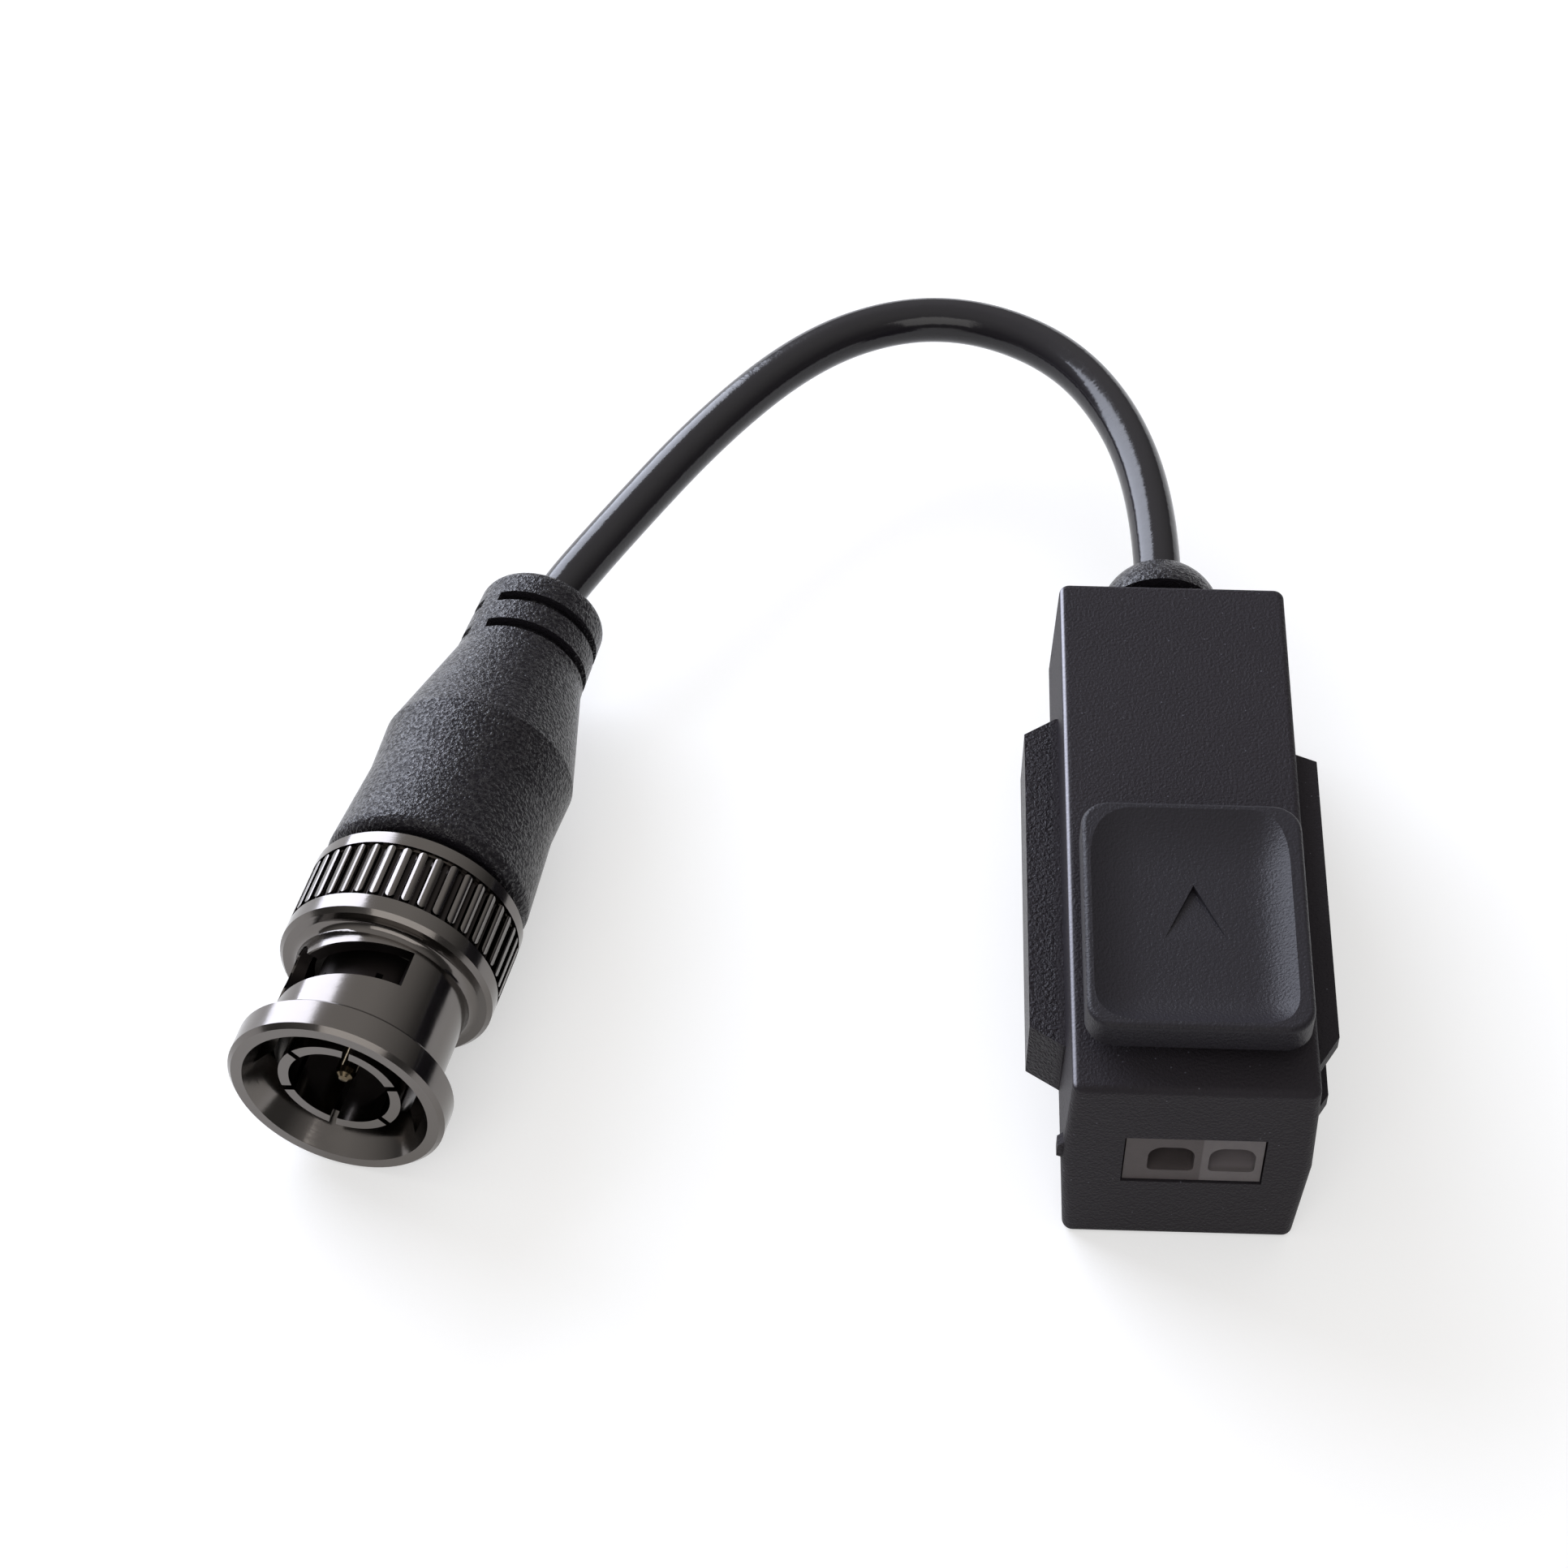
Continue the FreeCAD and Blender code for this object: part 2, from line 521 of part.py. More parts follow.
# Lower shell: base, lower walls, the tongue that locates the upper shell, the posts
# under the circuit board, the channel's lower lip and the tab that closes the cable notch
def make_lower_shell():
    body = new_body("lower_shell")
    outline = new_sketch(body, "outline", "XZ_Plane")
    add_outline(outline, [("-base_width / 2", "0"), ("base_width / 2", "0"),
                          ("parting_width / 2", "parting_height"), ("-parting_width / 2", "parting_height")])
    thicken(body, "Pad", "outer_form", outline, "housing_length")
    rounded(body, "upright_corners", runs_up, "upright_round")
    rounded(body, "base_edges", lambda edge: at_height(edge, 0), "base_round")
    tongue_edge = "(parting_width / 2 - wall - joint_gap)"
    block(body, "Pad", "tongue",
          (f"-{tongue_edge}", tongue_edge),
          (f"{NEAR} + wall + joint_gap", f"{FAR} - wall - joint_gap"),
          "parting_height - wall", "parting_height + tongue_height")
    hollow = new_sketch(body, "hollow_section", "XZ_Plane")
    inner = "- wall - joint_gap - tongue_thickness"
    add_outline(hollow, [(f"-(base_width / 2 {inner})", "wall"), (f"base_width / 2 {inner}", "wall"),
                         (f"parting_width / 2 {inner}", "parting_height + tongue_height * 2"),
                         (f"-(parting_width / 2 {inner})", "parting_height + tongue_height * 2")])
    thicken(body, "Pocket", "hollow", hollow,
            "housing_length - (wall + joint_gap + tongue_thickness) * 2")
    rail_seat(body)
    posts = new_sketch(body, "posts_plan", "XY_Plane", f"(wall / 2 + {BOARD_UNDER}) / 2")
    for side in ("-", ""):
        for middle in (f"{NEAR} + wall + terminal_depth * 1.5", f"{FAR} - wall - post * 3"):
            edge = f"(base_width / 2 {inner})"
            add_rectangle(posts, *sorted((f"{side}({edge} - post)", f"{side}({edge} + wall / 2)"),
                                         reverse=side == "-"),
                          f"{middle} - post / 2", f"{middle} + post / 2")
    thicken(body, "Pad", "posts", posts, f"{BOARD_UNDER} - wall / 2")
    side_bar(body, "lower_lip", "", LIP_SPAN, ("lip_near_slant", "lip_far_slant"), "lip_depth",
             "parting_height - lip_gap - lip_thickness", "parting_height - lip_gap")
    front_opening(body)
    block(body, "Pad", "cable_tab",
          ("grommet_shift - grommet_neck", "grommet_shift + grommet_neck"),
          (f"{FAR} - wall", FAR),
          "parting_height - wall", "grommet_height")
    seat = new_sketch(body, "cable_seat_section", "XZ_Plane", f"-({FAR} - wall / 2)")
    add_circle(seat, "grommet_shift", "grommet_height", "grommet_neck + seat_gap")
    thicken(body, "Pocket", "cable_seat", seat, "wall * 1.5")
    block(body, "Pocket", "grommet_flange_room",
          ("grommet_shift - grommet_flange - seat_gap", "grommet_shift + grommet_flange + seat_gap"),
          (f"{FAR} - wall - grommet_flange", f"{FAR} - wall"),
          "grommet_height - grommet_flange - seat_gap", "grommet_height + grommet_flange")
    return body


# One terminal module of the row: a box with a wire entry in front, a cell for the
# spring and the contact bar, open behind and above, where the plunger comes in
def make_terminal_module(side):
    body = new_body(f"terminal_module_{side}")
    middle = CELL_MIDDLES[side]
    block(body, "Pad", "case", (f"{middle} - pitch / 2", f"{middle} + pitch / 2"),
          (TERMINAL_FRONT, TERMINAL_REAR), "terminal_floor", TERMINAL_TOP)
    block(body, "Pocket", "cell",
          (f"{middle} - pitch / 2 + cell_wall", f"{middle} + pitch / 2 - cell_wall"),
          (f"{TERMINAL_FRONT} + entry_depth", f"{TERMINAL_REAR} + cell_wall"),
          "terminal_floor + cell_wall", f"{TERMINAL_TOP} - cell_wall")
    block(body, "Pocket", "plunger_opening",
          (f"{middle} - plunger_width / 2 - slide_gap", f"{middle} + plunger_width / 2 + slide_gap"),
          (f"{PLUNGER_PLACE} - plunger_length / 2 - slide_gap",
           f"{PLUNGER_PLACE} + plunger_length / 2 + slide_gap"),
          f"{TERMINAL_TOP} - cell_wall * 2", f"{TERMINAL_TOP} + cell_wall")
    block(body, "Pocket", "pin_opening",
          (f"{middle} - solder_pin / 2 - fit_gap", f"{middle} + solder_pin / 2 + fit_gap"),
          (f"{TERMINAL_REAR} - solder_pin * 3 - fit_gap", f"{TERMINAL_REAR} - solder_pin * 2 + fit_gap"),
          "terminal_floor - cell_wall", "terminal_floor + cell_wall * 2")
    mouth = new_sketch(body, "mouth_section", "XZ_Plane",
                       f"-({TERMINAL_FRONT} + entry_depth / 2)")
    add_rectangle(mouth, f"{middle} - entry_width / 2", f"{middle} + entry_width / 2",
                  "terminal_floor + entry_rise - entry_height / 2", "terminal_floor + entry_rise + entry_height / 2")
    thicken(body, "Pocket", "wire_entry", mouth, "entry_depth * 1.2")
    # The mouth's top is arched by two large corner radii, its bottom is flat
    entry = size("terminal_floor") + size("entry_rise")
    for name, height, radius in (("upper_corners", entry + size("entry_height") / 2, "entry_arch"),
                                 ("lower_corners", entry - size("entry_height") / 2, "entry_corner")):
        rounded(body, "entry_" + name,
                lambda edge: at_height(edge, height) and runs_along(edge) and starts_in_front(edge), radius)
    return body


# Cap that closes the left end of the row of terminals
def make_end_cap():
    body = new_body("terminal_end_cap")
    block(body, "Pad", "cap", (ROW_LEFT, f"{ROW_LEFT} + end_cap"),
          (TERMINAL_FRONT, TERMINAL_REAR), "terminal_floor", TERMINAL_TOP)
    return body


# Contact bar: a flat strip on the cell's floor with a square pin down through the board
def make_contact_bar(side):
    body = new_body(f"contact_bar_{side}")
    middle = CELL_MIDDLES[side]
    floor = "terminal_floor + cell_wall"
    half = "(pitch / 2 - cell_wall - fit_gap)"
    block(body, "Pad", "strip", (f"{middle} - {half}", f"{middle} + {half}"),
          (f"{TERMINAL_FRONT} + entry_depth + fit_gap", f"{TERMINAL_REAR} - solder_pin"),
          floor, f"{floor} + bar_thickness")
    block(body, "Pad", "pin", (f"{middle} - solder_pin / 2", f"{middle} + solder_pin / 2"),
          (f"{TERMINAL_REAR} - solder_pin * 3", f"{TERMINAL_REAR} - solder_pin * 2"),
          f"{BOARD_UNDER} - solder_pin", floor)
    return body


# Clamp spring: a steel strip bent back on itself, its foot on the contact bar and
# its upper arm under the plunger
def make_clamp_spring(side):
    body = new_body(f"clamp_spring_{side}")
    foot = "(terminal_floor + cell_wall + bar_thickness + fit_gap)"
    arm = f"({PLUNGER_END} - fit_gap)"
    bend = f"({TERMINAL_REAR} - solder_pin * 1.5)"
    tip = f"({PLUNGER_PLACE} - plunger_length / 2)"
    section = new_sketch(body, "section", "YZ_Plane", CELL_MIDDLES[side])
    add_outline(section, [
        (tip, foot), (f"{bend} - strip * 2", foot), (bend, f"{foot} + strip * 2"),
        (bend, f"{arm} - strip * 2"), (f"{bend} - strip * 2", arm), (tip, arm),
        (tip, f"{arm} - strip"), (f"{bend} - strip * 2.4", f"{arm} - strip"),
        (f"{bend} - strip", f"{arm} - strip * 2.4"), (f"{bend} - strip", f"{foot} + strip * 2.4"),
        (f"{bend} - strip * 2.4", f"{foot} + strip"), (tip, f"{foot} + strip")])
    thicken(body, "Pad", "bent_strip", section, "pitch - cell_wall * 4")
    return body


# Push pad: a dished cap that floats above the top, with a triangular mark, two
# plungers down to the clamp springs and two snap hooks that keep it in
def make_push_pad():
    body = doc.addObject("PartDesign::Body", "pad_blank")
    block(body, "Pad", "cap", ("pad_shift - pad_width / 2", "pad_shift + pad_width / 2"),
          ("pad_middle - pad_length / 2", "pad_middle + pad_length / 2"), PAD_UNDER, PAD_TOP)
    rounded(body, "corners", runs_up, "pad_corner")
    top = size("housing_height") + size("pad_rise") + size("pad_thickness")
    rounded(body, "outer_edge", lambda edge: at_height(edge, top), "pad_edge")
    legs = new_sketch(body, "plungers_plan", "XY_Plane",
                      f"({PLUNGER_END} + {PAD_UNDER} + pad_edge) / 2")
    for place in CELL_MIDDLES.values():
        add_rectangle(legs, f"{place} - plunger_width / 2", f"{place} + plunger_width / 2",
                      f"{PLUNGER_PLACE} - plunger_length / 2", f"{PLUNGER_PLACE} + plunger_length / 2")
    thicken(body, "Pad", "plungers", legs, f"{PAD_UNDER} + pad_edge - {PLUNGER_END}")
    for name, side in (("left_hook", "-"), ("right_hook", "+")):
        section = new_sketch(body, name + "_section", "YZ_Plane", f"pad_shift {side} hook_spread")
        near_face = "(pad_middle + hook_place - hook_thickness / 2)"
        far_face = "(pad_middle + hook_place + hook_thickness / 2)"
        under_top = "(housing_height - wall - fit_gap)"
        add_outline(section, [
            (near_face, f"{PAD_UNDER} + pad_edge"), (near_face, f"{under_top} - hook_catch * 3"),
            (far_face, f"{under_top} - hook_catch * 3"),
            (f"{far_face} + hook_catch", f"{under_top} - hook_catch"),
            (f"{far_face} + hook_catch", under_top), (far_face, under_top),
            (far_face, f"{PAD_UNDER} + pad_edge")])
        thicken(body, "Pad", name, section, "hook_width")
    pad = doc.addObject("Part::Cut", "push_button")
    pad.Label = "push_button"
    pad.Base = body
    pad.Tool = finger_dish()
    pad.Refine = False
    sub_parts["push_button"] = pad
    return pad


def finger_dish():
    """What the finger dish and the mark take out of the pad: all that lies above a smooth surface,
    and a wedge with a triangular outline, deepest at its tip."""
    top = size("housing_height") + size("pad_rise") + size("pad_thickness")
    left = size("pad_shift") - size("pad_width") / 2 + size("rim")
    right = size("pad_shift") + size("pad_width") / 2 - size("right_rim")
    near = size("pad_middle") - size("pad_length") / 2 + size("rim")
    far = size("pad_middle") + size("pad_length") / 2 - size("rim")
    depth = size("dish_depth")

    def height(x, y):
        """Level floor; towards each side the height climbs as the square of the way up its slope."""
        across = max(0, 1 - (x - left) / size("left_slope"), 1 - (right - x) / size("right_slope"))
        along = max(0, 1 - (y - near) / size("near_slope"), 1 - (far - y) / size("far_slope"))
        climb = (across ** DISH_SQUARENESS + along ** DISH_SQUARENESS) ** (2 / DISH_SQUARENESS)
        return top - depth + depth * climb
    margin = size("rim") / 2
    columns = [left - margin + (right - left + margin * 2) * i / DISH_COLUMNS for i in range(DISH_COLUMNS + 1)]
    rows = [near - margin + (far - near + margin * 2) * i / DISH_ROWS for i in range(DISH_ROWS + 1)]
    poles = [[Vector(x, y, height(x, y)) for y in rows] for x in columns]
    surface = Part.BSplineSurface()
    (x_counts, x_knots), (y_counts, y_knots) = clamped(len(columns)), clamped(len(rows))
    surface.buildFromPolesMultsKnots(poles, x_counts, y_counts, x_knots, y_knots, False, False, 3, 3)
    dish = surface.toShape().extrude(UP * (depth + size("pad_thickness")))
    floor = top - depth
    base = size("pad_middle") + size("mark_middle") - size("mark_length") / 2
    corners = [Vector(size("pad_shift") - size("mark_width") / 2, base, floor),
               Vector(size("pad_shift") + size("mark_width") / 2, base, floor),
               Vector(size("pad_shift"), base + size("mark_length"), floor - size("mark_depth"))]
    wedge = Part.Face(Part.makePolygon(corners + corners[:1])).extrude(UP * depth)
    cutter = doc.addObject("Part::Feature", "finger_dish")
    cutter.Shape = dish.fuse(wedge)
    return cutter


def clamped(count):
    """Multiplicities and knots of a cubic with this many poles, even and clamped at both ends."""
    inner = count - 4
    return [4] + [1] * inner + [4], [float(i) for i in range(inner + 2)]


# Circuit board: a plain plate on its posts, with square holes for the solder pins
def make_circuit_board():
    body = new_body("circuit_board")
    half = "(base_width / 2 - wall - joint_gap - tongue_thickness - board_gap)"
    block(body, "Pad", "board", (f"-{half}", half),
          (f"{NEAR} + wall + joint_gap + tongue_thickness + board_gap",
           f"{FAR} - wall - joint_gap - tongue_thickness - board_end_room"),
          BOARD_UNDER, BOARD_TOP)
    holes = new_sketch(body, "pin_holes_plan", "XY_Plane", f"({BOARD_UNDER} + {BOARD_TOP}) / 2")
    for middle in CELL_MIDDLES.values():
        add_rectangle(holes, f"{middle} - solder_pin / 2 - fit_gap", f"{middle} + solder_pin / 2 + fit_gap",
                      f"{TERMINAL_REAR} - solder_pin * 3 - fit_gap",
                      f"{TERMINAL_REAR} - solder_pin * 2 + fit_gap")
    thicken(body, "Pocket", "pin_holes", holes, "board_thickness * 2")
    return body


# Balun: a ferrite ring lying on the board with two opposite windings
def make_ferrite_ring():
    body = new_body("ferrite_core")
    turned(body, "ring", [("core_bore", "0"), ("core_radius", "0"), ("core_radius", "core_height"),
                          ("core_bore", "core_height")])
    body.Placement.Base = core_origin()
    return body


def core_origin():
    return Vector(0, size("core_place"), size("terminal_floor") + size("core_lift"))


def make_winding(label, heading):
    """Half of the windings: closed turns around the ring's section, as one ribbon."""
    body = new_body(label)
    sketch = new_sketch(body, "turns_section", "XZ_Plane")
    gap = "winding_gap"
    add_rectangle(sketch, f"core_bore - {gap} - turn_thickness", f"core_radius + {gap} + turn_thickness",
                  f"-{gap} - turn_thickness", f"core_height + {gap} + turn_thickness")
    add_rectangle(sketch, f"core_bore - {gap}", f"core_radius + {gap}", f"-{gap}", f"core_height + {gap}")
    feature = body.newObject("PartDesign::Revolution", "turns")
    feature.Profile = sketch
    feature.ReferenceAxis = (sketch, ["V_Axis"])
    feature.Midplane = True
    bind(feature, "Angle", "winding_sweep")
    body.Placement = FreeCAD.Placement(core_origin(), FreeCAD.Rotation(UP, heading))
    return body


# Small parts soldered to the board beyond the ring
def make_chip(label, length, width, height, across):
    chip = doc.addObject("Part::Box", label)
    chip.Label = label
    bind(chip, "Length", width)
    bind(chip, "Width", length)
    bind(chip, "Height", height)
    bind(chip, ".Placement.Base.x", across)
    bind(chip, ".Placement.Base.y", f"chip_place - {length} / 2")
    bind(chip, ".Placement.Base.z", BOARD_TOP)
    sub_parts[label] = chip
    return chip


# Grommet: a domed rubber moulding round the cable, clamped in the far wall by its neck
def make_grommet():
    body = new_body("cable_grommet")
    nose = "(cable_diameter / 2 + 0.1)"
    steps = 12
    dome_base = "grommet_step * 2"
    profile = [("0", "-wall - grommet_step * 2"), ("grommet_flange", "-wall - grommet_step * 2"),
               ("grommet_flange", "-wall - seat_gap"), ("grommet_neck", "-wall - seat_gap"),
               ("grommet_neck", "seat_gap"), ("grommet_collar", "seat_gap"),
               ("grommet_collar", "grommet_step"), ("grommet_neck", "grommet_step"),
               ("grommet_neck", dome_base)]
    nose_angle = math.degrees(math.acos((size("cable_diameter") / 2 + 0.1) / size("dome_radius")))
    for step in range(steps + 1):
        angle = f"{nose_angle * step / steps:.4f} deg"
        profile.append((f"dome_radius * cos({angle})", f"{dome_base} + dome_radius * sin({angle})"))
    profile.append(("0", f"{dome_base} + dome_radius * sin({nose_angle:.4f} deg)"))
    turned(body, "moulding", profile)
    body.Placement = grommet_placement()
    return body


def grommet_placement():
    """Axis level along +Y, at the far face of the housing."""
    face = Vector(size("grommet_shift"), size("housing_length") / 2, size("grommet_height"))
    return FreeCAD.Placement(face, FreeCAD.Rotation(UP, Vector(0, 1, 0)))


def nose_length():
    """Distance from the far face to the end of the grommet, where the cable starts."""
    nose = size("cable_diameter") / 2 + 0.1
    return size("grommet_step") * 2 + math.sqrt(size("dome_radius") ** 2 - nose ** 2)


# Leads: the stripped core and the twisted screen, from the grommet down to the board
def make_lead(label, radius, across):
    start = Vector(size("grommet_shift") + across,
                   size("housing_length") / 2 - size("wall") - size("grommet_step") * 2,
                   size("grommet_height"))
    reach = radius * 4
    corner = start - Vector(0, reach, 0)
    foot = Vector(corner.x, corner.y, size("terminal_floor"))
    path = rounded_path([start, corner, foot])
    lead = doc.addObject("Part::Feature", label)
    lead.Label = label
    lead.Shape = sweep_circle(path, start, Vector(0, -1, 0), radius)
    lead.Placement = FreeCAD.Placement()
    sub_parts[label] = lead
    return lead


def rounded_path(points, report=None):
    """Straight runs joined by tangent arcs, each as large as its two runs allow."""
    edges = []
    last = points[0]
    for before, corner, after in zip(points, points[1:], points[2:]):
        towards = (after - corner).normalize()
        back = (before - corner).normalize()
        turn = math.pi - back.getAngle(towards)
        shorter = min((before - corner).Length, (after - corner).Length)
        reach = ARC_SHARE * shorter
        radius = reach / math.tan(turn / 2)
        if report is not None:
            report.append(radius)
        middle_way = (towards + back).normalize()
        middle = corner + middle_way * (radius / math.cos(turn / 2) - radius)
        enter = corner + back * reach
        leave = corner + towards * reach
        edges.append(Part.LineSegment(last, enter).toShape())
        edges.append(Part.Arc(enter, middle, leave).toShape())
        last = leave
    edges.append(Part.LineSegment(last, points[-1]).toShape())
    return Part.Wire(edges)


def sweep_circle(path, start, direction, radius):
    circle = Part.Wire(Part.Circle(start, direction, radius).toShape())
    return path.makePipeShell([circle], True, False)


# Plug: every piece is drawn about its own Z axis, front rim at 0, and laid down here
def plug_axis():
    heading = math.radians(size("plug_heading"))
    return Vector(math.cos(heading), math.sin(heading), 0)


def plug_placement(roll=0.0):
    """Z along the plug from front to rear, X level to its left, Y straight up."""
    axis = plug_axis()
    left = UP.cross(axis)
    laid = FreeCAD.Rotation(left, UP, axis, "ZXY")
    front = Vector(size("plug_front_x"), size("plug_front_y"), size("nut_radius"))
    return FreeCAD.Placement(front, laid.multiply(FreeCAD.Rotation(UP, roll)))


# Coupling nut: turned from bar, bored through with a web inside, with two entry
# keyways, two bayonet slots that climb a quarter turn to round seats, and a knurled band
def make_coupling_nut():
    body = doc.addObject("PartDesign::Body", "nut_blank")
    turned(body, "turning", [
        ("mouth_radius", "0"), ("nut_radius", "0"), ("nut_radius", "rim_length"),
        ("neck_radius", "rim_length"), ("neck_radius", "band_start"), ("nut_radius", "band_start"),
        ("nut_radius", "nut_length"), ("rear_bore", "nut_length"),
        ("rear_bore", "web_start + web_thickness"),
        ("journal_radius + journal_gap", "web_start + web_thickness"),
        ("journal_radius + journal_gap", "web_start"), ("nut_bore", "web_start"),
        ("nut_bore", "mouth_depth")])
    outer, neck = size("nut_radius"), size("neck_radius")
    places = [0, size("rim_length"), size("band_start"), size("nut_length")]
    chamfered(body, "outer_edges",
              lambda edge: any(circle_at(edge, place, outer) for place in places), "nut_chamfer")
    rounded(body, "neck_corners",
            lambda edge: any(circle_at(edge, place, neck) for place in places[1:3]), "neck_round")
    keys = new_sketch(body, "keyways_plan", "XY_Plane", "slot_start / 2")
    add_rectangle(keys, "-lug_radius", "lug_radius", "-key_width / 2", "key_width / 2")
    thicken(body, "Pocket", "keyways", keys, "slot_start")
    for name, side in (("left_slot", ""), ("right_slot", "-")):
        section = new_sketch(body, name + "_section", "XZ_Plane")
        inside, outside = f"{side}(nut_bore - 0.5)", f"{side}(neck_radius + neck_round * 2)"
        add_rectangle(section, *((inside, outside) if side == "" else (outside, inside)),
                      "slot_start - slot_width / 2", "slot_start + slot_width / 2")
        slot = body.newObject("PartDesign::SubtractiveHelix", name)
        slot.Profile = section
        slot.ReferenceAxis = (section, ["V_Axis"])
        slot.Mode = 0
        bind(slot, "Pitch", "slot_rise * 360 / slot_sweep")
        bind(slot, "Height", "slot_rise")
    seats = new_sketch(body, "seats_section", "XZ_Plane")
    across = FreeCAD.Rotation(Vector(0, 1, 0), size("slot_sweep"))
    seats.AttachmentOffset = FreeCAD.Placement(Vector(), across)
    add_circle(seats, "0", "slot_start + slot_rise", "seat_radius")
    thicken(body, "Pocket", "round_seats", seats, "nut_radius * 2")
    nut = doc.addObject("Part::Cut", "coupling_nut")
    nut.Label = "coupling_nut"
    nut.Base = body
    nut.Tool = knurl_recess()
    nut.Refine = False
    nut.Placement = plug_placement(size("key_turn"))
    sub_parts["coupling_nut"] = nut
    return nut


def knurl_recess():
    """What the knurl takes out of the band: a ring, less a ridge with round ends for each step round it."""
    front = size("band_start") + size("knurl_front")
    rear = size("nut_length") - size("knurl_rear")
    height = size("ridge_height")
    floor = size("nut_radius") - height
    ring = Part.makeCylinder(floor + height * 2, rear - front, Vector(0, 0, front))
    ring = ring.cut(Part.makeCylinder(floor, rear - front, Vector(0, 0, front)))
    half = size("ridge_width") / 2
    low = front + size("ridge_end_gap") + half
    high = rear - size("ridge_end_gap") - half
    foot = floor - height
    outline = Part.Wire([
        Part.LineSegment(Vector(foot, -half, low), Vector(foot, -half, high)).toShape(),
        Part.Arc(Vector(foot, -half, high), Vector(foot, 0, high + half), Vector(foot, half, high)).toShape(),
        Part.LineSegment(Vector(foot, half, high), Vector(foot, half, low)).toShape(),
        Part.Arc(Vector(foot, half, low), Vector(foot, 0, low - half), Vector(foot, -half, low)).toShape()])
    ridge = Part.Face(outline).extrude(Vector(height * 4, 0, 0))
    count = int(size("ridge_count"))
    ridges = []
    for step in range(count):
        copy = ridge.copy()
        copy.rotate(Vector(0, 0, 0), UP, (step + 0.5) * 360 / count)
        ridges.append(copy)
    recess = doc.addObject("Part::Feature", "knurl_recess")
    recess.Shape = ring.cut(Part.makeCompound(ridges))
    return recess


# Plug body: one turned piece with the slotted contact in front, a shoulder and journal
# that carry the nut, a groove for its ring, a rear collar and the crimp tail
def make_plug_body():
    body = new_body("plug_body")
    inner = "(contact_radius - contact_wall)"
    turned(body, "turning", [
        (inner, "contact_front"), ("contact_radius", "contact_front"), ("contact_radius", "shoulder_front"),
        ("shoulder_radius", "shoulder_front"), ("shoulder_radius", "web_start - thrust_gap"),
        ("journal_radius", "web_start - thrust_gap"), ("journal_radius", "ring_place"),
        ("ring_groove", "ring_place"), ("ring_groove", "ring_place + ring_thickness + fit_gap"),
        ("journal_radius", "ring_place + ring_thickness + fit_gap"), ("journal_radius", "collar_start"),
        ("collar_radius", "collar_start"), ("collar_radius", "collar_end"), ("tail_radius", "collar_end"),
        ("tail_radius", "tail_end"), ("tail_bore", "tail_end"), ("tail_bore", "insulator_rear + fit_gap"),
        (inner, "insulator_rear + fit_gap")])
    cuts = int(size("slit_count"))
    for index in range(cuts):
        sketch = new_sketch(body, f"slit_{index + 1}_section", "XY_Plane", "contact_front + slit_depth / 2")
        angle = 90 + size("slit_turn") + 180 * index / cuts
        sketch.AttachmentOffset = FreeCAD.Placement(sketch.AttachmentOffset.Base, FreeCAD.Rotation(UP, angle))
        add_rectangle(sketch, "-contact_radius - 0.5", "contact_radius + 0.5", "-slit_width / 2", "slit_width / 2")
        thicken(body, "Pocket", f"slit_{index + 1}", sketch, "slit_depth")
    body.Placement = plug_placement()
    return body


# Insulator that holds the pin in the middle of the contact
def make_insulator():
    body = new_body("insulator")
    outer = "(contact_radius - contact_wall - fit_gap)"
    bore = "pin_barrel + fit_gap"
    turned(body, "turning", [(bore, "insulator_front"), (outer, "insulator_front"),
                             (outer, "insulator_rear"), (bore, "insulator_rear")])
    body.Placement = plug_placement()
    return body


# Centre pin with a rounded tip and a solder end behind the insulator
def make_centre_pin():
    body = new_body("centre_pin")
    turned(body, "turning", [
        ("0", "pin_front"), ("pin_radius * 0.45", "pin_front + pin_radius * 0.1"),
        ("pin_radius * 0.8", "pin_front + pin_radius * 0.4"), ("pin_radius", "pin_front + pin_radius"),
        ("pin_radius", "insulator_front + fit_gap"), ("pin_barrel", "insulator_front + fit_gap"),
        ("pin_barrel", "insulator_rear + fit_gap"), ("pin_barrel * 1.3", "insulator_rear + fit_gap"),
        ("pin_barrel * 1.3", "pin_rear"), ("0", "pin_rear")])
    body.Placement = plug_placement()
    return body


# Gasket in front of the shoulder
def make_gasket():
    body = new_body("plug_gasket")
    turned(body, "moulding", [
        ("contact_radius + fit_gap", "shoulder_front - fit_gap - gasket_thickness"),
        ("shoulder_radius", "shoulder_front - fit_gap - gasket_thickness"),
        ("shoulder_radius", "shoulder_front - fit_gap"), ("contact_radius + fit_gap", "shoulder_front - fit_gap")])
    body.Placement = plug_placement()
    return body


# Dished spring washer between the nut's web and the retaining ring
def make_spring_washer():
    body = new_body("spring_washer")
    rim_place = "web_start + web_thickness + thrust_gap"
    bore_place = "ring_place - fit_gap - washer_thickness"
    turned(body, "pressing", [
        ("journal_radius + journal_gap", bore_place), ("washer_radius", rim_place),
        ("washer_radius", f"{rim_place} + washer_thickness"),
        ("journal_radius + journal_gap", f"{bore_place} + washer_thickness")])
    body.Placement = plug_placement()
    return body


# Open ring that snaps into the body's groove and keeps the nut on
def make_retaining_ring():
    body = new_body("retaining_ring")
    turned(body, "ring", [
        ("ring_groove + fit_gap", "ring_place + fit_gap / 2"), ("ring_radius", "ring_place + fit_gap / 2"),
        ("ring_radius", "ring_place + fit_gap / 2 + ring_thickness"),
        ("ring_groove + fit_gap", "ring_place + fit_gap / 2 + ring_thickness")], "360 - ring_opening")
    body.Placement = plug_placement()
    return body


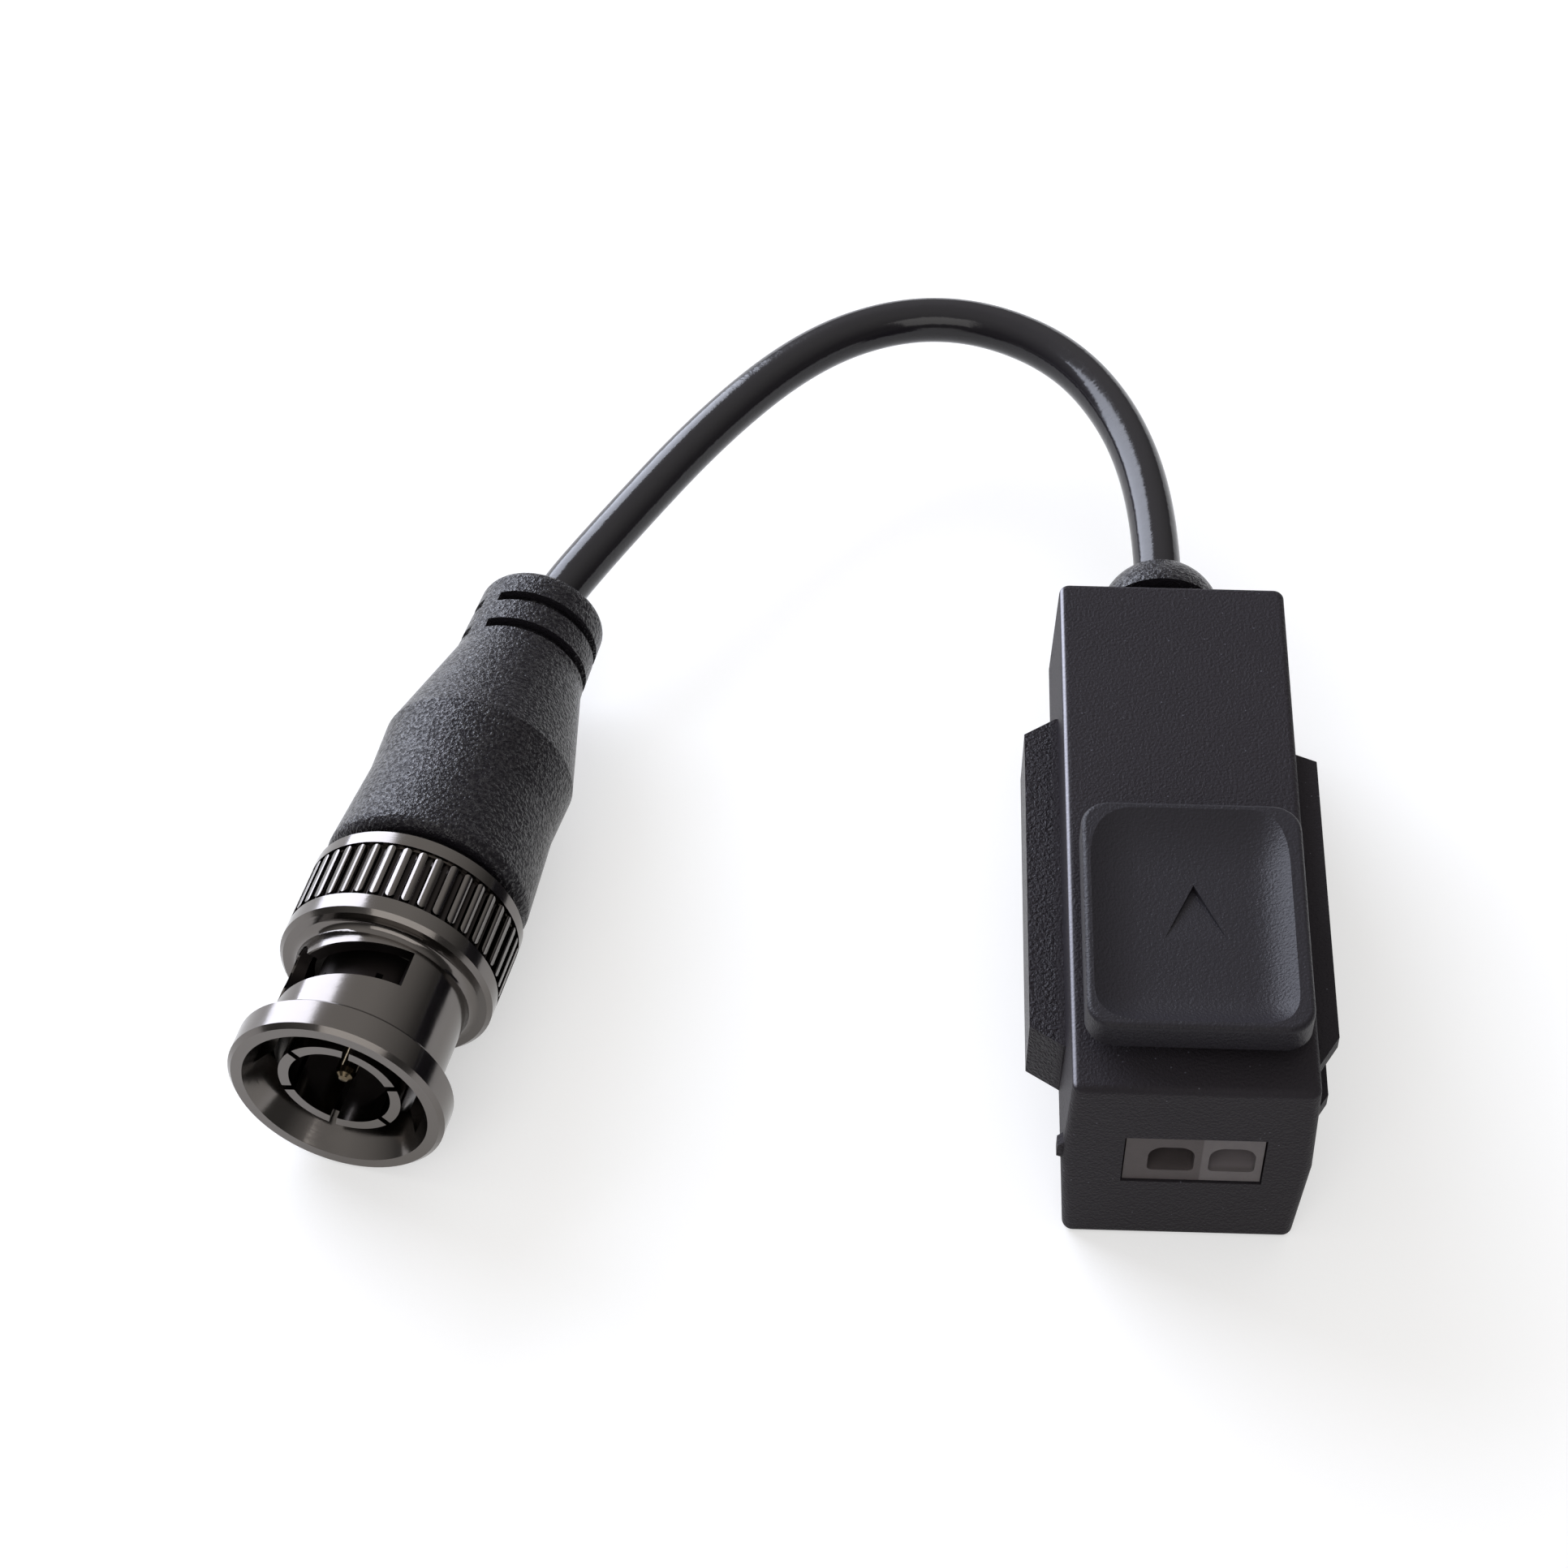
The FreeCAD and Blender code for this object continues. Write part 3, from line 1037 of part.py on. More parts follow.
# Ferrule crimped over the cable's screen on the body's tail
def make_ferrule():
    body = new_body("crimp_ferrule")
    inner = "(tail_radius + fit_gap)"
    turned(body, "tube", [
        (inner, "collar_end + fit_gap"), (f"{inner} + ferrule_wall", "collar_end + fit_gap"),
        (f"{inner} + ferrule_wall", "tail_end"), (inner, "tail_end")])
    body.Placement = plug_placement()
    return body


# Boot: moulded over the plug's tail and the cable, with a grip, a cone and a strain
# relief whose two ring grooves are crossed by two spines
def make_boot():
    body = new_body("plug_boot")
    ferrule = "(tail_radius + fit_gap * 2 + ferrule_wall)"
    mouth = "(cable_diameter / 2 + boot_mouth_gap)"
    turned(body, "moulding", [
        ("collar_radius + fit_gap", "boot_start"), ("boot_radius", "boot_start"),
        ("waist_radius", "waist_place"), ("grip_end_radius", "grip_end"), ("relief_radius", "cone_end"),
        ("boot_end_radius", "boot_end"), (mouth, "boot_end"), (mouth, "cable_seat"), ("0", "cable_seat"),
        ("0", "tail_end + fit_gap"), (ferrule, "tail_end + fit_gap"),
        (ferrule, "collar_end + fit_gap"), ("collar_radius + fit_gap", "collar_end + fit_gap")])
    front, radius = size("boot_start"), size("boot_radius")
    rounded(body, "front_edge", lambda edge: circle_at(edge, front, radius), "boot_edge")
    rear, end_radius = size("boot_end"), size("boot_end_radius")
    rounded(body, "rear_edge", lambda edge: circle_at(edge, rear, end_radius), "boot_end_round")
    for place in ("relief_first", "relief_second"):
        for side in ("", "-"):
            name = f"{place}_{'left' if side else 'right'}"
            section = new_sketch(body, name + "_section", "XZ_Plane")
            slope = "(relief_radius - boot_end_radius) / (boot_end - cone_end)"
            floor = f"(relief_radius - ({place} - cone_end) * {slope} - relief_depth)"
            spans = (f"{side}{floor}", f"{side}(relief_radius + relief_depth)")
            add_rectangle(section, *(spans if side == "" else spans[::-1]),
                          f"{place} - relief_groove / 2", f"{place} + relief_groove / 2")
            groove = body.newObject("PartDesign::Groove", name)
            groove.Profile = section
            groove.ReferenceAxis = (section, ["V_Axis"])
            groove.Midplane = True
            bind(groove, "Angle", "180 - relief_spine")
    body.Placement = plug_placement(size("spine_turn") + 90)
    return body


# Cable: one tube along the chosen route, from the grommet's nose to its seat in the boot's mouth
def make_cable():
    start = Vector(size("grommet_shift"), size("housing_length") / 2 + nose_length(), size("grommet_height"))
    end = plug_placement().Base + plug_axis() * size("cable_seat")
    route = [start] + [Vector(*point) for point in CABLE_ROUTE] + [end + plug_axis() * LAST_RUN, end]
    radii = []
    path = rounded_path(route, radii)
    radius = size("cable_diameter") / 2
    cable = doc.addObject("Part::Feature", "coax_cable")
    cable.Label = "coax_cable"
    cable.Shape = sweep_circle(path, start, Vector(0, 1, 0), radius)
    cable.Placement = FreeCAD.Placement()
    sub_parts["coax_cable"] = cable
    expected = math.pi * radius ** 2 * path.Length
    print("cable radii", [round(value, 1) for value in radii])
    print("cable length", round(path.Length, 2), "volume", round(cable.Shape.Volume, 2),
          "section times length", round(expected, 2))
    return cable


make_upper_shell()
make_lower_shell()
for cell in CELL_MIDDLES:
    make_terminal_module(cell)
    make_contact_bar(cell)
    make_clamp_spring(cell)
make_end_cap()
make_push_pad()
make_circuit_board()
make_ferrite_ring()
make_winding("winding_left", 180)
make_winding("winding_right", 0)
make_chip("surge_diode", "diode_length", "diode_width", "diode_height", "-diode_width * 1.6")
make_chip("chip_capacitor", "chip_length", "chip_width", "chip_height", "chip_width * 1.2")
make_chip("chip_resistor", "chip_length", "chip_width", "chip_height", "chip_width * 3")
make_grommet()
make_lead("signal_lead", size("signal_lead_radius"), 0)
make_lead("shield_lead", size("shield_lead_radius"), -size("signal_lead_radius") * 2.4)
make_cable()
make_coupling_nut()
make_plug_body()
make_insulator()
make_centre_pin()
make_gasket()
make_spring_washer()
make_retaining_ring()
make_ferrule()
make_boot()

doc.recompute()
faults = [item.Label for item in doc.Objects
          if any(word in item.State for word in ("Invalid", "Error"))]
faults += [label for label, item in sub_parts.items() if item.Shape.isNull() or not item.Shape.isValid()]
if faults:
    raise RuntimeError("not built: " + ", ".join(faults))

os.makedirs("parts", exist_ok=True)
for label, item in sub_parts.items():
    item.Shape.exportStep(f"parts/{label}.step")
    box = item.Shape.BoundBox
    print(f"{label:24s} {len(item.Shape.Solids)} solid  {item.Shape.Volume:9.2f} mm3",
          " ".join(f"{value:7.2f}" for value in (box.XMin, box.XMax, box.YMin, box.YMax, box.ZMin, box.ZMax)))
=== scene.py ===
import math

import bpy
import numpy as np
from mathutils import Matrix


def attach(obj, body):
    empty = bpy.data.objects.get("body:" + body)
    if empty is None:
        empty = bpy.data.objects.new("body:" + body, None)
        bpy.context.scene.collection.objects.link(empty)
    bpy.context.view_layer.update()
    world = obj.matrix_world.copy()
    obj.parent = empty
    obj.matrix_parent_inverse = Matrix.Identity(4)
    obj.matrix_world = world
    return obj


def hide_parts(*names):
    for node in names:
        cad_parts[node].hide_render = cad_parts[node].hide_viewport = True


# A video balun with a cable tail, as it lies on a pale table: a slim moulded housing with two wire
# terminals under a push pad, a short coaxial cable and a bayonet plug. Metres, in the CAD model's frame.
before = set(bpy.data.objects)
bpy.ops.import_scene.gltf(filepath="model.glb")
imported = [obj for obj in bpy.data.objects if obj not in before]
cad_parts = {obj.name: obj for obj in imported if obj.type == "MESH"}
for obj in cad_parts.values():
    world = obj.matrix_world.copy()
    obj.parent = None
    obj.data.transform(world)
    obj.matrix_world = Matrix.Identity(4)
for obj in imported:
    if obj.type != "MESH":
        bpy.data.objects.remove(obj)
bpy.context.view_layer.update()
MM = 0.001


# Housing. Two half shells injection moulded in black ABS, snapped together along a joint halfway up.
# The tool was spark eroded, which leaves a fine even grain and takes most of the gloss off, and the
# long rail on the left came from a rougher part of it. Fine specks of dust lie on it.
RAIL_FOOT = -8.0 * MM
TOP_LEFT_EDGE = (-7.52 * MM, 0, 15.32 * MM)


def linear(colour):
    """An sRGB hex colour as linear RGBA: c / 12.92 up to 0.04045, and ((c + 0.055) / 1.055) ^ 2.4 above."""
    srgb = np.array([int(colour[i:i + 2], 16) for i in (0, 2, 4)]) / 255
    rgb = np.where(srgb <= 0.04045, srgb / 12.92, ((srgb + 0.055) / 1.055) ** 2.4)
    return (*rgb, 1.0)


def add_node(tree, kind, settings, inputs):
    """Adds one node. Settings name its properties; inputs give each socket a value or a link from another."""
    node = tree.nodes.new(kind)
    for name, value in settings.items():
        setattr(node, name, value)
    for name, value in inputs.items():
        if isinstance(value, bpy.types.NodeSocket):
            tree.links.new(value, node.inputs[name])
        else:
            node.inputs[name].default_value = value
    return node


def new_material(name, colour, **constants):
    """A material with one Principled shader, whose constants are set on the shader's own sockets."""
    material = bpy.data.materials.new(name)
    material.use_nodes = True
    tree = material.node_tree
    shader = tree.nodes["Principled BSDF"]
    shader.inputs["Base Color"].default_value = linear(colour)
    for socket, value in constants.items():
        shader.inputs[socket.replace("_", " ")].default_value = value
    place = tree.nodes.new("ShaderNodeTexCoord").outputs["Object"]
    return material, tree, shader, place


def grain(tree, place, width, height, under=None, share=1.0):
    """Moulded grain as a bump: noise whose cells are width across and height deep, over another bump."""
    noise = add_node(tree, "ShaderNodeTexNoise", {}, {
        "Vector": place, "Scale": 1 / width, "Detail": 2.0, "Roughness": 0.6})
    bump = add_node(tree, "ShaderNodeBump", {}, {
        "Height": noise.outputs["Fac"], "Distance": height, "Strength": share})
    if under is not None:
        tree.links.new(under, bump.inputs["Normal"])
    return bump.outputs["Normal"]


def dress(material, *names):
    """Gives CAD nodes this material in every slot."""
    for name in names:
        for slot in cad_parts[name].material_slots:
            slot.material = material


# Black ABS, spark eroded: a dark neutral with a broad soft sheen. The rail is grained deeper and glossier
abs_plastic, tree, shader, place = new_material(
    "black_abs_spark_eroded", "2a272b", Roughness=0.5, IOR=1.53, Specular_IOR_Level=0.1)
axes = add_node(tree, "ShaderNodeSeparateXYZ", {}, {"Vector": place})
on_rail = add_node(tree, "ShaderNodeMapRange", {}, {
    "Value": axes.outputs["X"], "From Min": RAIL_FOOT, "From Max": RAIL_FOOT - 0.3 * MM})
fine = grain(tree, place, 0.2 * MM, 0.1 * MM)
rough = grain(tree, place, 0.22 * MM, 0.26 * MM, fine, on_rail.outputs["Result"])
tree.links.new(rough, shader.inputs["Normal"])
shine = add_node(tree, "ShaderNodeMix", {}, {"Factor": on_rail.outputs["Result"], "A": 0.5, "B": 0.3})
tree.links.new(shine.outputs["Result"], shader.inputs["Roughness"])
# Dust: where a random point in space falls within 0.06 mm of the surface
dust = add_node(tree, "ShaderNodeTexVoronoi", {}, {"Vector": place, "Scale": 1 / (0.9 * MM)})
speck = add_node(tree, "ShaderNodeMapRange", {}, {
    "Value": dust.outputs["Distance"], "From Min": 0.07, "From Max": 0.04})
patches = add_node(tree, "ShaderNodeTexNoise", {}, {"Vector": place, "Scale": 1 / (9 * MM), "Detail": 3.0})
tone = add_node(tree, "ShaderNodeMix", {"data_type": "RGBA"}, {
    "Factor": patches.outputs["Fac"], "A": linear("272428"), "B": linear("2c292d")})
dusty = add_node(tree, "ShaderNodeMix", {"data_type": "RGBA"}, {
    "Factor": speck.outputs["Result"], "A": tone.outputs["Result"], "B": linear("56565e")})
# Painted highlight: the long edge on the left is painted pale over 0.2 mm, a little less towards the
# terminals, for the lamp's light on its rounded edge
from_edge = add_node(tree, "ShaderNodeCombineXYZ", {}, {"X": axes.outputs["X"], "Z": axes.outputs["Z"]})
from_edge = add_node(tree, "ShaderNodeVectorMath", {"operation": "DISTANCE"}, {
    0: from_edge.outputs["Vector"], 1: TOP_LEFT_EDGE})
painted_edge_highlight = add_node(tree, "ShaderNodeMapRange", {}, {
    "Value": from_edge.outputs["Value"], "From Min": 0.2 * MM, "From Max": 0.08 * MM})
along = add_node(tree, "ShaderNodeMapRange", {}, {
    "Value": axes.outputs["Y"], "From Min": -60 * MM, "From Max": 16 * MM})
painted_edge_highlight = add_node(tree, "ShaderNodeMath", {"operation": "MULTIPLY"}, {
    0: painted_edge_highlight.outputs["Result"], 1: along.outputs["Result"]})
# The pale painted highlight goes over the dusty tone here
dust_and_edge_highlight = add_node(tree, "ShaderNodeMix", {"data_type": "RGBA"}, {
    "Factor": painted_edge_highlight.outputs["Value"], "A": dusty.outputs["Result"], "B": linear("b8b8c2")})
tree.links.new(dust_and_edge_highlight.outputs["Result"], shader.inputs["Base Color"])
dress(abs_plastic, "upper_shell", "lower_shell")


# Circuit board and the balun on it: a green glass board, a ferrite ring wound with two bundles of
# enamelled copper wire, and three small soldered parts. All of it is closed in by the housing.
RING_CENTRE = (0, 2.5 * MM, 8.15 * MM)
WIRE_TURNS = 40
board_glass, tree, shader, place = new_material(
    "green_solder_mask", "1f5a3c", Roughness=0.35, IOR=1.5, Coat_Weight=0.3)
tree.links.new(grain(tree, place, 0.35 * MM, 0.01 * MM), shader.inputs["Normal"])
dress(board_glass, "circuit_board")

ferrite, tree, shader, place = new_material("sintered_ferrite", "3a3836", Roughness=0.7, IOR=1.6)
tree.links.new(grain(tree, place, 0.15 * MM, 0.02 * MM), shader.inputs["Normal"])
dress(ferrite, "ferrite_core")

# Enamelled copper: the turns lie side by side round the ring
copper, tree, shader, place = new_material("enamelled_copper", "b5652f", Metallic=0.9, Roughness=0.3)
from_ring = add_node(tree, "ShaderNodeVectorMath", {"operation": "SUBTRACT"}, {
    0: place, 1: RING_CENTRE})
axes = add_node(tree, "ShaderNodeSeparateXYZ", {}, {"Vector": from_ring.outputs["Vector"]})
heading = add_node(tree, "ShaderNodeMath", {"operation": "ARCTAN2"}, {
    0: axes.outputs["Y"], 1: axes.outputs["X"]})
turns = add_node(tree, "ShaderNodeMath", {"operation": "MULTIPLY"}, {
    0: heading.outputs["Value"], 1: WIRE_TURNS})
ridge = add_node(tree, "ShaderNodeMath", {"operation": "SINE"}, {0: turns.outputs["Value"]})
wire = add_node(tree, "ShaderNodeBump", {}, {"Height": ridge.outputs["Value"], "Distance": 0.12 * MM})
tree.links.new(wire.outputs["Normal"], shader.inputs["Normal"])
dress(copper, "winding_left", "winding_right")

chip_epoxy, tree, shader, place = new_material("moulded_epoxy", "252528", Roughness=0.55, IOR=1.55)
tree.links.new(grain(tree, place, 0.1 * MM, 0.008 * MM), shader.inputs["Normal"])
dress(chip_epoxy, "surge_diode", "chip_resistor")

chip_ceramic, tree, shader, place = new_material("fired_ceramic", "a58a66", Roughness=0.45, IOR=1.7)
tree.links.new(grain(tree, place, 0.1 * MM, 0.006 * MM), shader.inputs["Normal"])
dress(chip_ceramic, "chip_capacitor")


# Wire terminals: a row of two moulded nylon cells and an end cap, each cell with a tinned contact bar
# and a bent spring strip that clamps the wire. The left cell is darker than the right one.
CELL_JOINT = 0.87 * MM
MOUTH_START = -20.9 * MM
nylon, tree, shader, place = new_material(
    "grey_nylon", "655f5f", Roughness=0.55, IOR=1.53, Specular_IOR_Level=0.25)
axes = add_node(tree, "ShaderNodeSeparateXYZ", {}, {"Vector": place})
right_cell = add_node(tree, "ShaderNodeMapRange", {}, {
    "Value": axes.outputs["X"], "From Min": CELL_JOINT - 0.05 * MM, "From Max": CELL_JOINT + 0.05 * MM})
clouds = add_node(tree, "ShaderNodeTexNoise", {}, {"Vector": place, "Scale": 1 / (0.8 * MM), "Detail": 3.0})
left_tone = add_node(tree, "ShaderNodeMix", {"data_type": "RGBA"}, {
    "Factor": clouds.outputs["Fac"], "A": linear("4b4646"), "B": linear("564f4f")})
right_tone = add_node(tree, "ShaderNodeMix", {"data_type": "RGBA"}, {
    "Factor": clouds.outputs["Fac"], "A": linear("605b5c"), "B": linear("6e6969")})
tone = add_node(tree, "ShaderNodeMix", {"data_type": "RGBA"}, {
    "Factor": right_cell.outputs["Result"],
    "A": left_tone.outputs["Result"], "B": right_tone.outputs["Result"]})
# Painted light: the right cell is painted paler inside its mouth, where light falls in
inside = add_node(tree, "ShaderNodeMapRange", {}, {
    "Value": axes.outputs["Y"], "From Min": MOUTH_START, "From Max": MOUTH_START + 0.3 * MM})
inside = add_node(tree, "ShaderNodeMath", {"operation": "MULTIPLY"}, {
    0: inside.outputs["Result"], 1: right_cell.outputs["Result"]})
tone = add_node(tree, "ShaderNodeMix", {"data_type": "RGBA"}, {
    "Factor": inside.outputs["Value"], "A": tone.outputs["Result"], "B": linear("7c7678")})
tree.links.new(tone.outputs["Result"], shader.inputs["Base Color"])
tree.links.new(grain(tree, place, 0.15 * MM, 0.01 * MM), shader.inputs["Normal"])
dress(nylon, "terminal_module_left", "terminal_module_right", "terminal_end_cap")

tin, tree, shader, place = new_material("tinned_bronze", "b9b6b0", Metallic=1.0, Roughness=0.35)
tree.links.new(grain(tree, place, 0.3 * MM, 0.004 * MM), shader.inputs["Normal"])
dress(tin, "contact_bar_left", "contact_bar_right", "shield_lead")

spring_steel, tree, shader, place = new_material("spring_steel", "8d8b88", Metallic=1.0, Roughness=0.25)
tree.links.new(grain(tree, place, 0.3 * MM, 0.002 * MM), shader.inputs["Normal"])
dress(spring_steel, "clamp_spring_left", "clamp_spring_right", "spring_washer", "retaining_ring")


# Push pad: one ABS moulding from a smoother tool, with a finger dish that is steep at both sides and
# the near end and runs out at the far end, and a triangular mark in its floor.
pad_plastic, tree, shader, place = new_material(
    "black_abs_satin", "262429", Roughness=0.4, IOR=1.53, Specular_IOR_Level=0.17)
tree.links.new(grain(tree, place, 0.18 * MM, 0.06 * MM), shader.inputs["Normal"])
dress(pad_plastic, "push_button")


# Cable grommet and the two leads inside it. The grommet is soft PVC moulded round the cable, with a
# coarse grain; the core lead keeps its white polyethylene, the screen is twisted and tinned.
soft_pvc, tree, shader, place = new_material(
    "black_pvc_coarse_grain", "1f1d21", Roughness=0.22, IOR=1.53, Specular_IOR_Level=0.27)
GRAIN_WIDTH = 0.25 * MM
tree.links.new(grain(tree, place, GRAIN_WIDTH, 0.17 * MM), shader.inputs["Normal"])
# The same noise again: its pits shade themselves and lose some gloss, so that the tops sparkle
pits = add_node(tree, "ShaderNodeTexNoise", {}, {
    "Vector": place, "Scale": 1 / GRAIN_WIDTH, "Detail": 2.0, "Roughness": 0.6})
gloss = add_node(tree, "ShaderNodeMapRange", {}, {
    "Value": pits.outputs["Fac"], "From Min": 0.42, "From Max": 0.66, "To Min": 0.08, "To Max": 0.5})
tree.links.new(gloss.outputs["Result"], shader.inputs["Specular IOR Level"])
dress(soft_pvc, "cable_grommet")

core_insulation, tree, shader, place = new_material(
    "natural_polyethylene", "e4e2da", Roughness=0.4, IOR=1.51, Subsurface_Weight=0.1)
tree.links.new(grain(tree, place, 0.5 * MM, 0.01 * MM), shader.inputs["Normal"])
dress(core_insulation, "signal_lead")


# Cable: a thin coaxial cable with an extruded black PVC jacket, smooth and half gloss. It leaves the
# grommet level, swings round to the left in one arch and comes down into the mouth of the plug's boot.
CABLE_DIAMETER = 3.3 * MM
CABLE_ROUTE = [
    (-0.35, 26.323, 10.6),
    (-0.35, 32.87, 10.6),
    (-2.16, 42.00, 10.4),
    (-6.07, 49.33, 10.0),
    (-12.19, 53.48, 9.6),
    (-18.64, 53.99, 9.2),
    (-25.29, 50.71, 8.8),
    (-32.10, 42.99, 8.3),
    (-39.44, 31.51, 7.6),
    (-43.063, 25.178, 7.25),
    (-43.925, 21.682, 7.25),
]
route = bpy.data.curves.new("cable_route", "CURVE")
route.dimensions = "3D"
spline = route.splines.new("NURBS")
spline.points.add(len(CABLE_ROUTE) - 1)
spline.points.foreach_set("co", [c for x, y, z in CABLE_ROUTE for c in (x * MM, y * MM, z * MM, 1)])
spline.order_u = 3
spline.use_endpoint_u = True
spline.resolution_u = 24
route.bevel_depth = CABLE_DIAMETER / 2
route.bevel_resolution = 10
route.use_fill_caps = True
cable = bpy.data.objects.new("cable_jacket", route)
bpy.context.scene.collection.objects.link(cable)

# Extruded PVC: a sharper, slightly wavy highlight along its length
jacket, tree, shader, place = new_material(
    "black_pvc_extruded", "1e1c20", Roughness=0.14, IOR=1.53, Specular_IOR_Level=0.33)
waves = grain(tree, place, 1.2 * MM, 0.02 * MM)
tree.links.new(grain(tree, place, 0.25 * MM, 0.006 * MM, waves), shader.inputs["Normal"])
route.materials.append(jacket)
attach(cable, "housing")
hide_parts("coax_cable")


# Plug body, pin and insulator. The body is turned brass with its slotted contact and journal, plated
# with nickel; the pin is gilt; black plastic holds it. A rubber gasket and the ferrule sit on the body.
PLUG_FRONT = np.array([-53.62, -17.64, 7.25]) * MM
PLUG_HEADING = math.radians(76.15)


def on_plug(tree, place):
    """A place on the plug: (axis from the front to the rear, left, up), and the distance from the axis."""
    x, y, z = PLUG_FRONT
    cosine, sine = math.cos(PLUG_HEADING), math.sin(PLUG_HEADING)
    laid = add_node(tree, "ShaderNodeMapping", {}, {
        "Vector": place, "Location": (-x * cosine - y * sine, x * sine - y * cosine, -z),
        "Rotation": (0, 0, -PLUG_HEADING)})
    axes = add_node(tree, "ShaderNodeSeparateXYZ", {}, {"Vector": laid.outputs["Vector"]}).outputs
    across = add_node(tree, "ShaderNodeCombineXYZ", {}, {"X": axes["Y"], "Y": axes["Z"]})
    radius = add_node(tree, "ShaderNodeVectorMath", {"operation": "LENGTH"}, {0: across.outputs["Vector"]})
    return axes, radius.outputs["Value"]


def turned_marks(tree, axes, radius, spacing, height):
    """Lathe marks as a bump: noise of the distance along the plug's axis and of the distance from it."""
    rings = add_node(tree, "ShaderNodeCombineXYZ", {}, {"X": axes["X"], "Y": radius})
    noise = add_node(tree, "ShaderNodeTexNoise", {}, {
        "Vector": rings.outputs["Vector"], "Scale": 1 / spacing, "Detail": 2.0})
    bump = add_node(tree, "ShaderNodeBump", {}, {"Height": noise.outputs["Fac"], "Distance": height})
    return bump.outputs["Normal"]


def between(tree, value, low, high, edge):
    """1 where a value lies from low to high, falling to 0 over an edge outside them, from two ramps."""
    rise = add_node(tree, "ShaderNodeMapRange", {}, {
        "Value": value, "From Min": low - edge, "From Max": low})
    fall = add_node(tree, "ShaderNodeMapRange", {}, {
        "Value": value, "From Min": high + edge, "From Max": high})
    both = add_node(tree, "ShaderNodeMath", {"operation": "MULTIPLY"}, {
        0: rise.outputs["Result"], 1: fall.outputs["Result"]})
    return both.outputs["Value"]


# Nickel plate on turned brass: near mirror, darker than chrome, with fine lathe marks 0.12 mm apart. Deep
# inside it is painted dark as shade and made rougher, and finger grease makes the outside cloudy in patches
# of 2 to 3 mm.
def nickel_plate(name, shade_and_dull_radius, shade_and_dull_start, shade_and_dull_end):
    """Nickel plate that is painted dark as shade and made rougher within a radius, from one place along the
    plug's axis to another.
    """
    plate = "6a6663"
    material, tree, shader, place = new_material(name, plate, Metallic=1.0, Roughness=0.15)
    axes, radius = on_plug(tree, place)
    marks = turned_marks(tree, axes, radius, 0.12 * MM, 0.0015 * MM)
    marks = grain(tree, place, 0.6 * MM, 0.003 * MM, marks)
    inside = between(tree, radius, 0, shade_and_dull_radius, 0.05 * MM)
    deep = add_node(tree, "ShaderNodeMapRange", {}, {
        "Value": axes["X"], "From Min": shade_and_dull_start, "From Max": shade_and_dull_end})
    shade_and_dull = add_node(tree, "ShaderNodeMath", {"operation": "MULTIPLY"}, {0: inside, 1: deep.outputs["Result"]})
    # Painted shade: within that reach the plate is painted a dark brown grey
    colour = add_node(tree, "ShaderNodeMix", {"data_type": "RGBA"}, {
        "Factor": shade_and_dull.outputs["Value"], "A": linear(plate), "B": linear("2c2827")})
    smudge = add_node(tree, "ShaderNodeTexNoise", {}, {
        "Vector": place, "Scale": 1 / (2.5 * MM), "Detail": 4.0})
    cloud = add_node(tree, "ShaderNodeMapRange", {}, {
        "Value": smudge.outputs["Fac"], "From Min": 0.3, "From Max": 0.7, "To Min": 0.1, "To Max": 0.2})
    rough = add_node(tree, "ShaderNodeMix", {}, {
        "Factor": shade_and_dull.outputs["Value"], "A": cloud.outputs["Result"], "B": 0.5})
    tree.links.new(rough.outputs["Result"], shader.inputs["Roughness"])
    tree.links.new(colour.outputs["Result"], shader.inputs["Base Color"])
    tree.links.new(marks, shader.inputs["Normal"])
    return material, tree, shader, axes, radius, marks, colour


# The body is painted dark as shade, and made rougher, from 5.5 mm back along the axis, fully from 7 mm, at
# every radius
nickel = nickel_plate("nickel_plate", 8 * MM, 5.5 * MM, 7 * MM)[0]
dress(nickel, "plug_body", "crimp_ferrule")

gilt, tree, shader, place = new_material("gilt_brass", "5e5443", Metallic=1.0, Roughness=0.2)
axes, radius = on_plug(tree, place)
tree.links.new(turned_marks(tree, axes, radius, 0.1 * MM, 0.0005 * MM), shader.inputs["Normal"])
dress(gilt, "centre_pin")

# Painted light: the black acetal is painted mid grey, so that it shows lighter deep inside the contact
black_resin, tree, shader, place = new_material("black_acetal", "565254", Roughness=0.5, IOR=1.48)
tree.links.new(grain(tree, place, 0.2 * MM, 0.01 * MM), shader.inputs["Normal"])
dress(black_resin, "insulator")

gasket_rubber, tree, shader, place = new_material("gasket_rubber", "2b2927", Roughness=0.75, IOR=1.5)
tree.links.new(grain(tree, place, 0.2 * MM, 0.01 * MM), shader.inputs["Normal"])
dress(gasket_rubber, "plug_gasket")


# Coupling nut: turned from brass bar with a smooth rim, a neck that carries the two bayonet slots and
# a rolled knurl, then nickel plated like the body. It turns on the body's journal.
RIDGES = 42
RIDGE_TURN = math.radians(102)
KNURL_START, KNURL_END = 11.1 * MM, 15.3 * MM
# Within 5.65 mm of the axis the nut is painted dark as shade, and made rougher, from 3 mm back, fully from
# 5.5 mm
knurled, tree, shader, axes, radius, marks, plate = nickel_plate(
    "nickel_plate_knurled", 5.65 * MM, 3 * MM, 5.5 * MM)
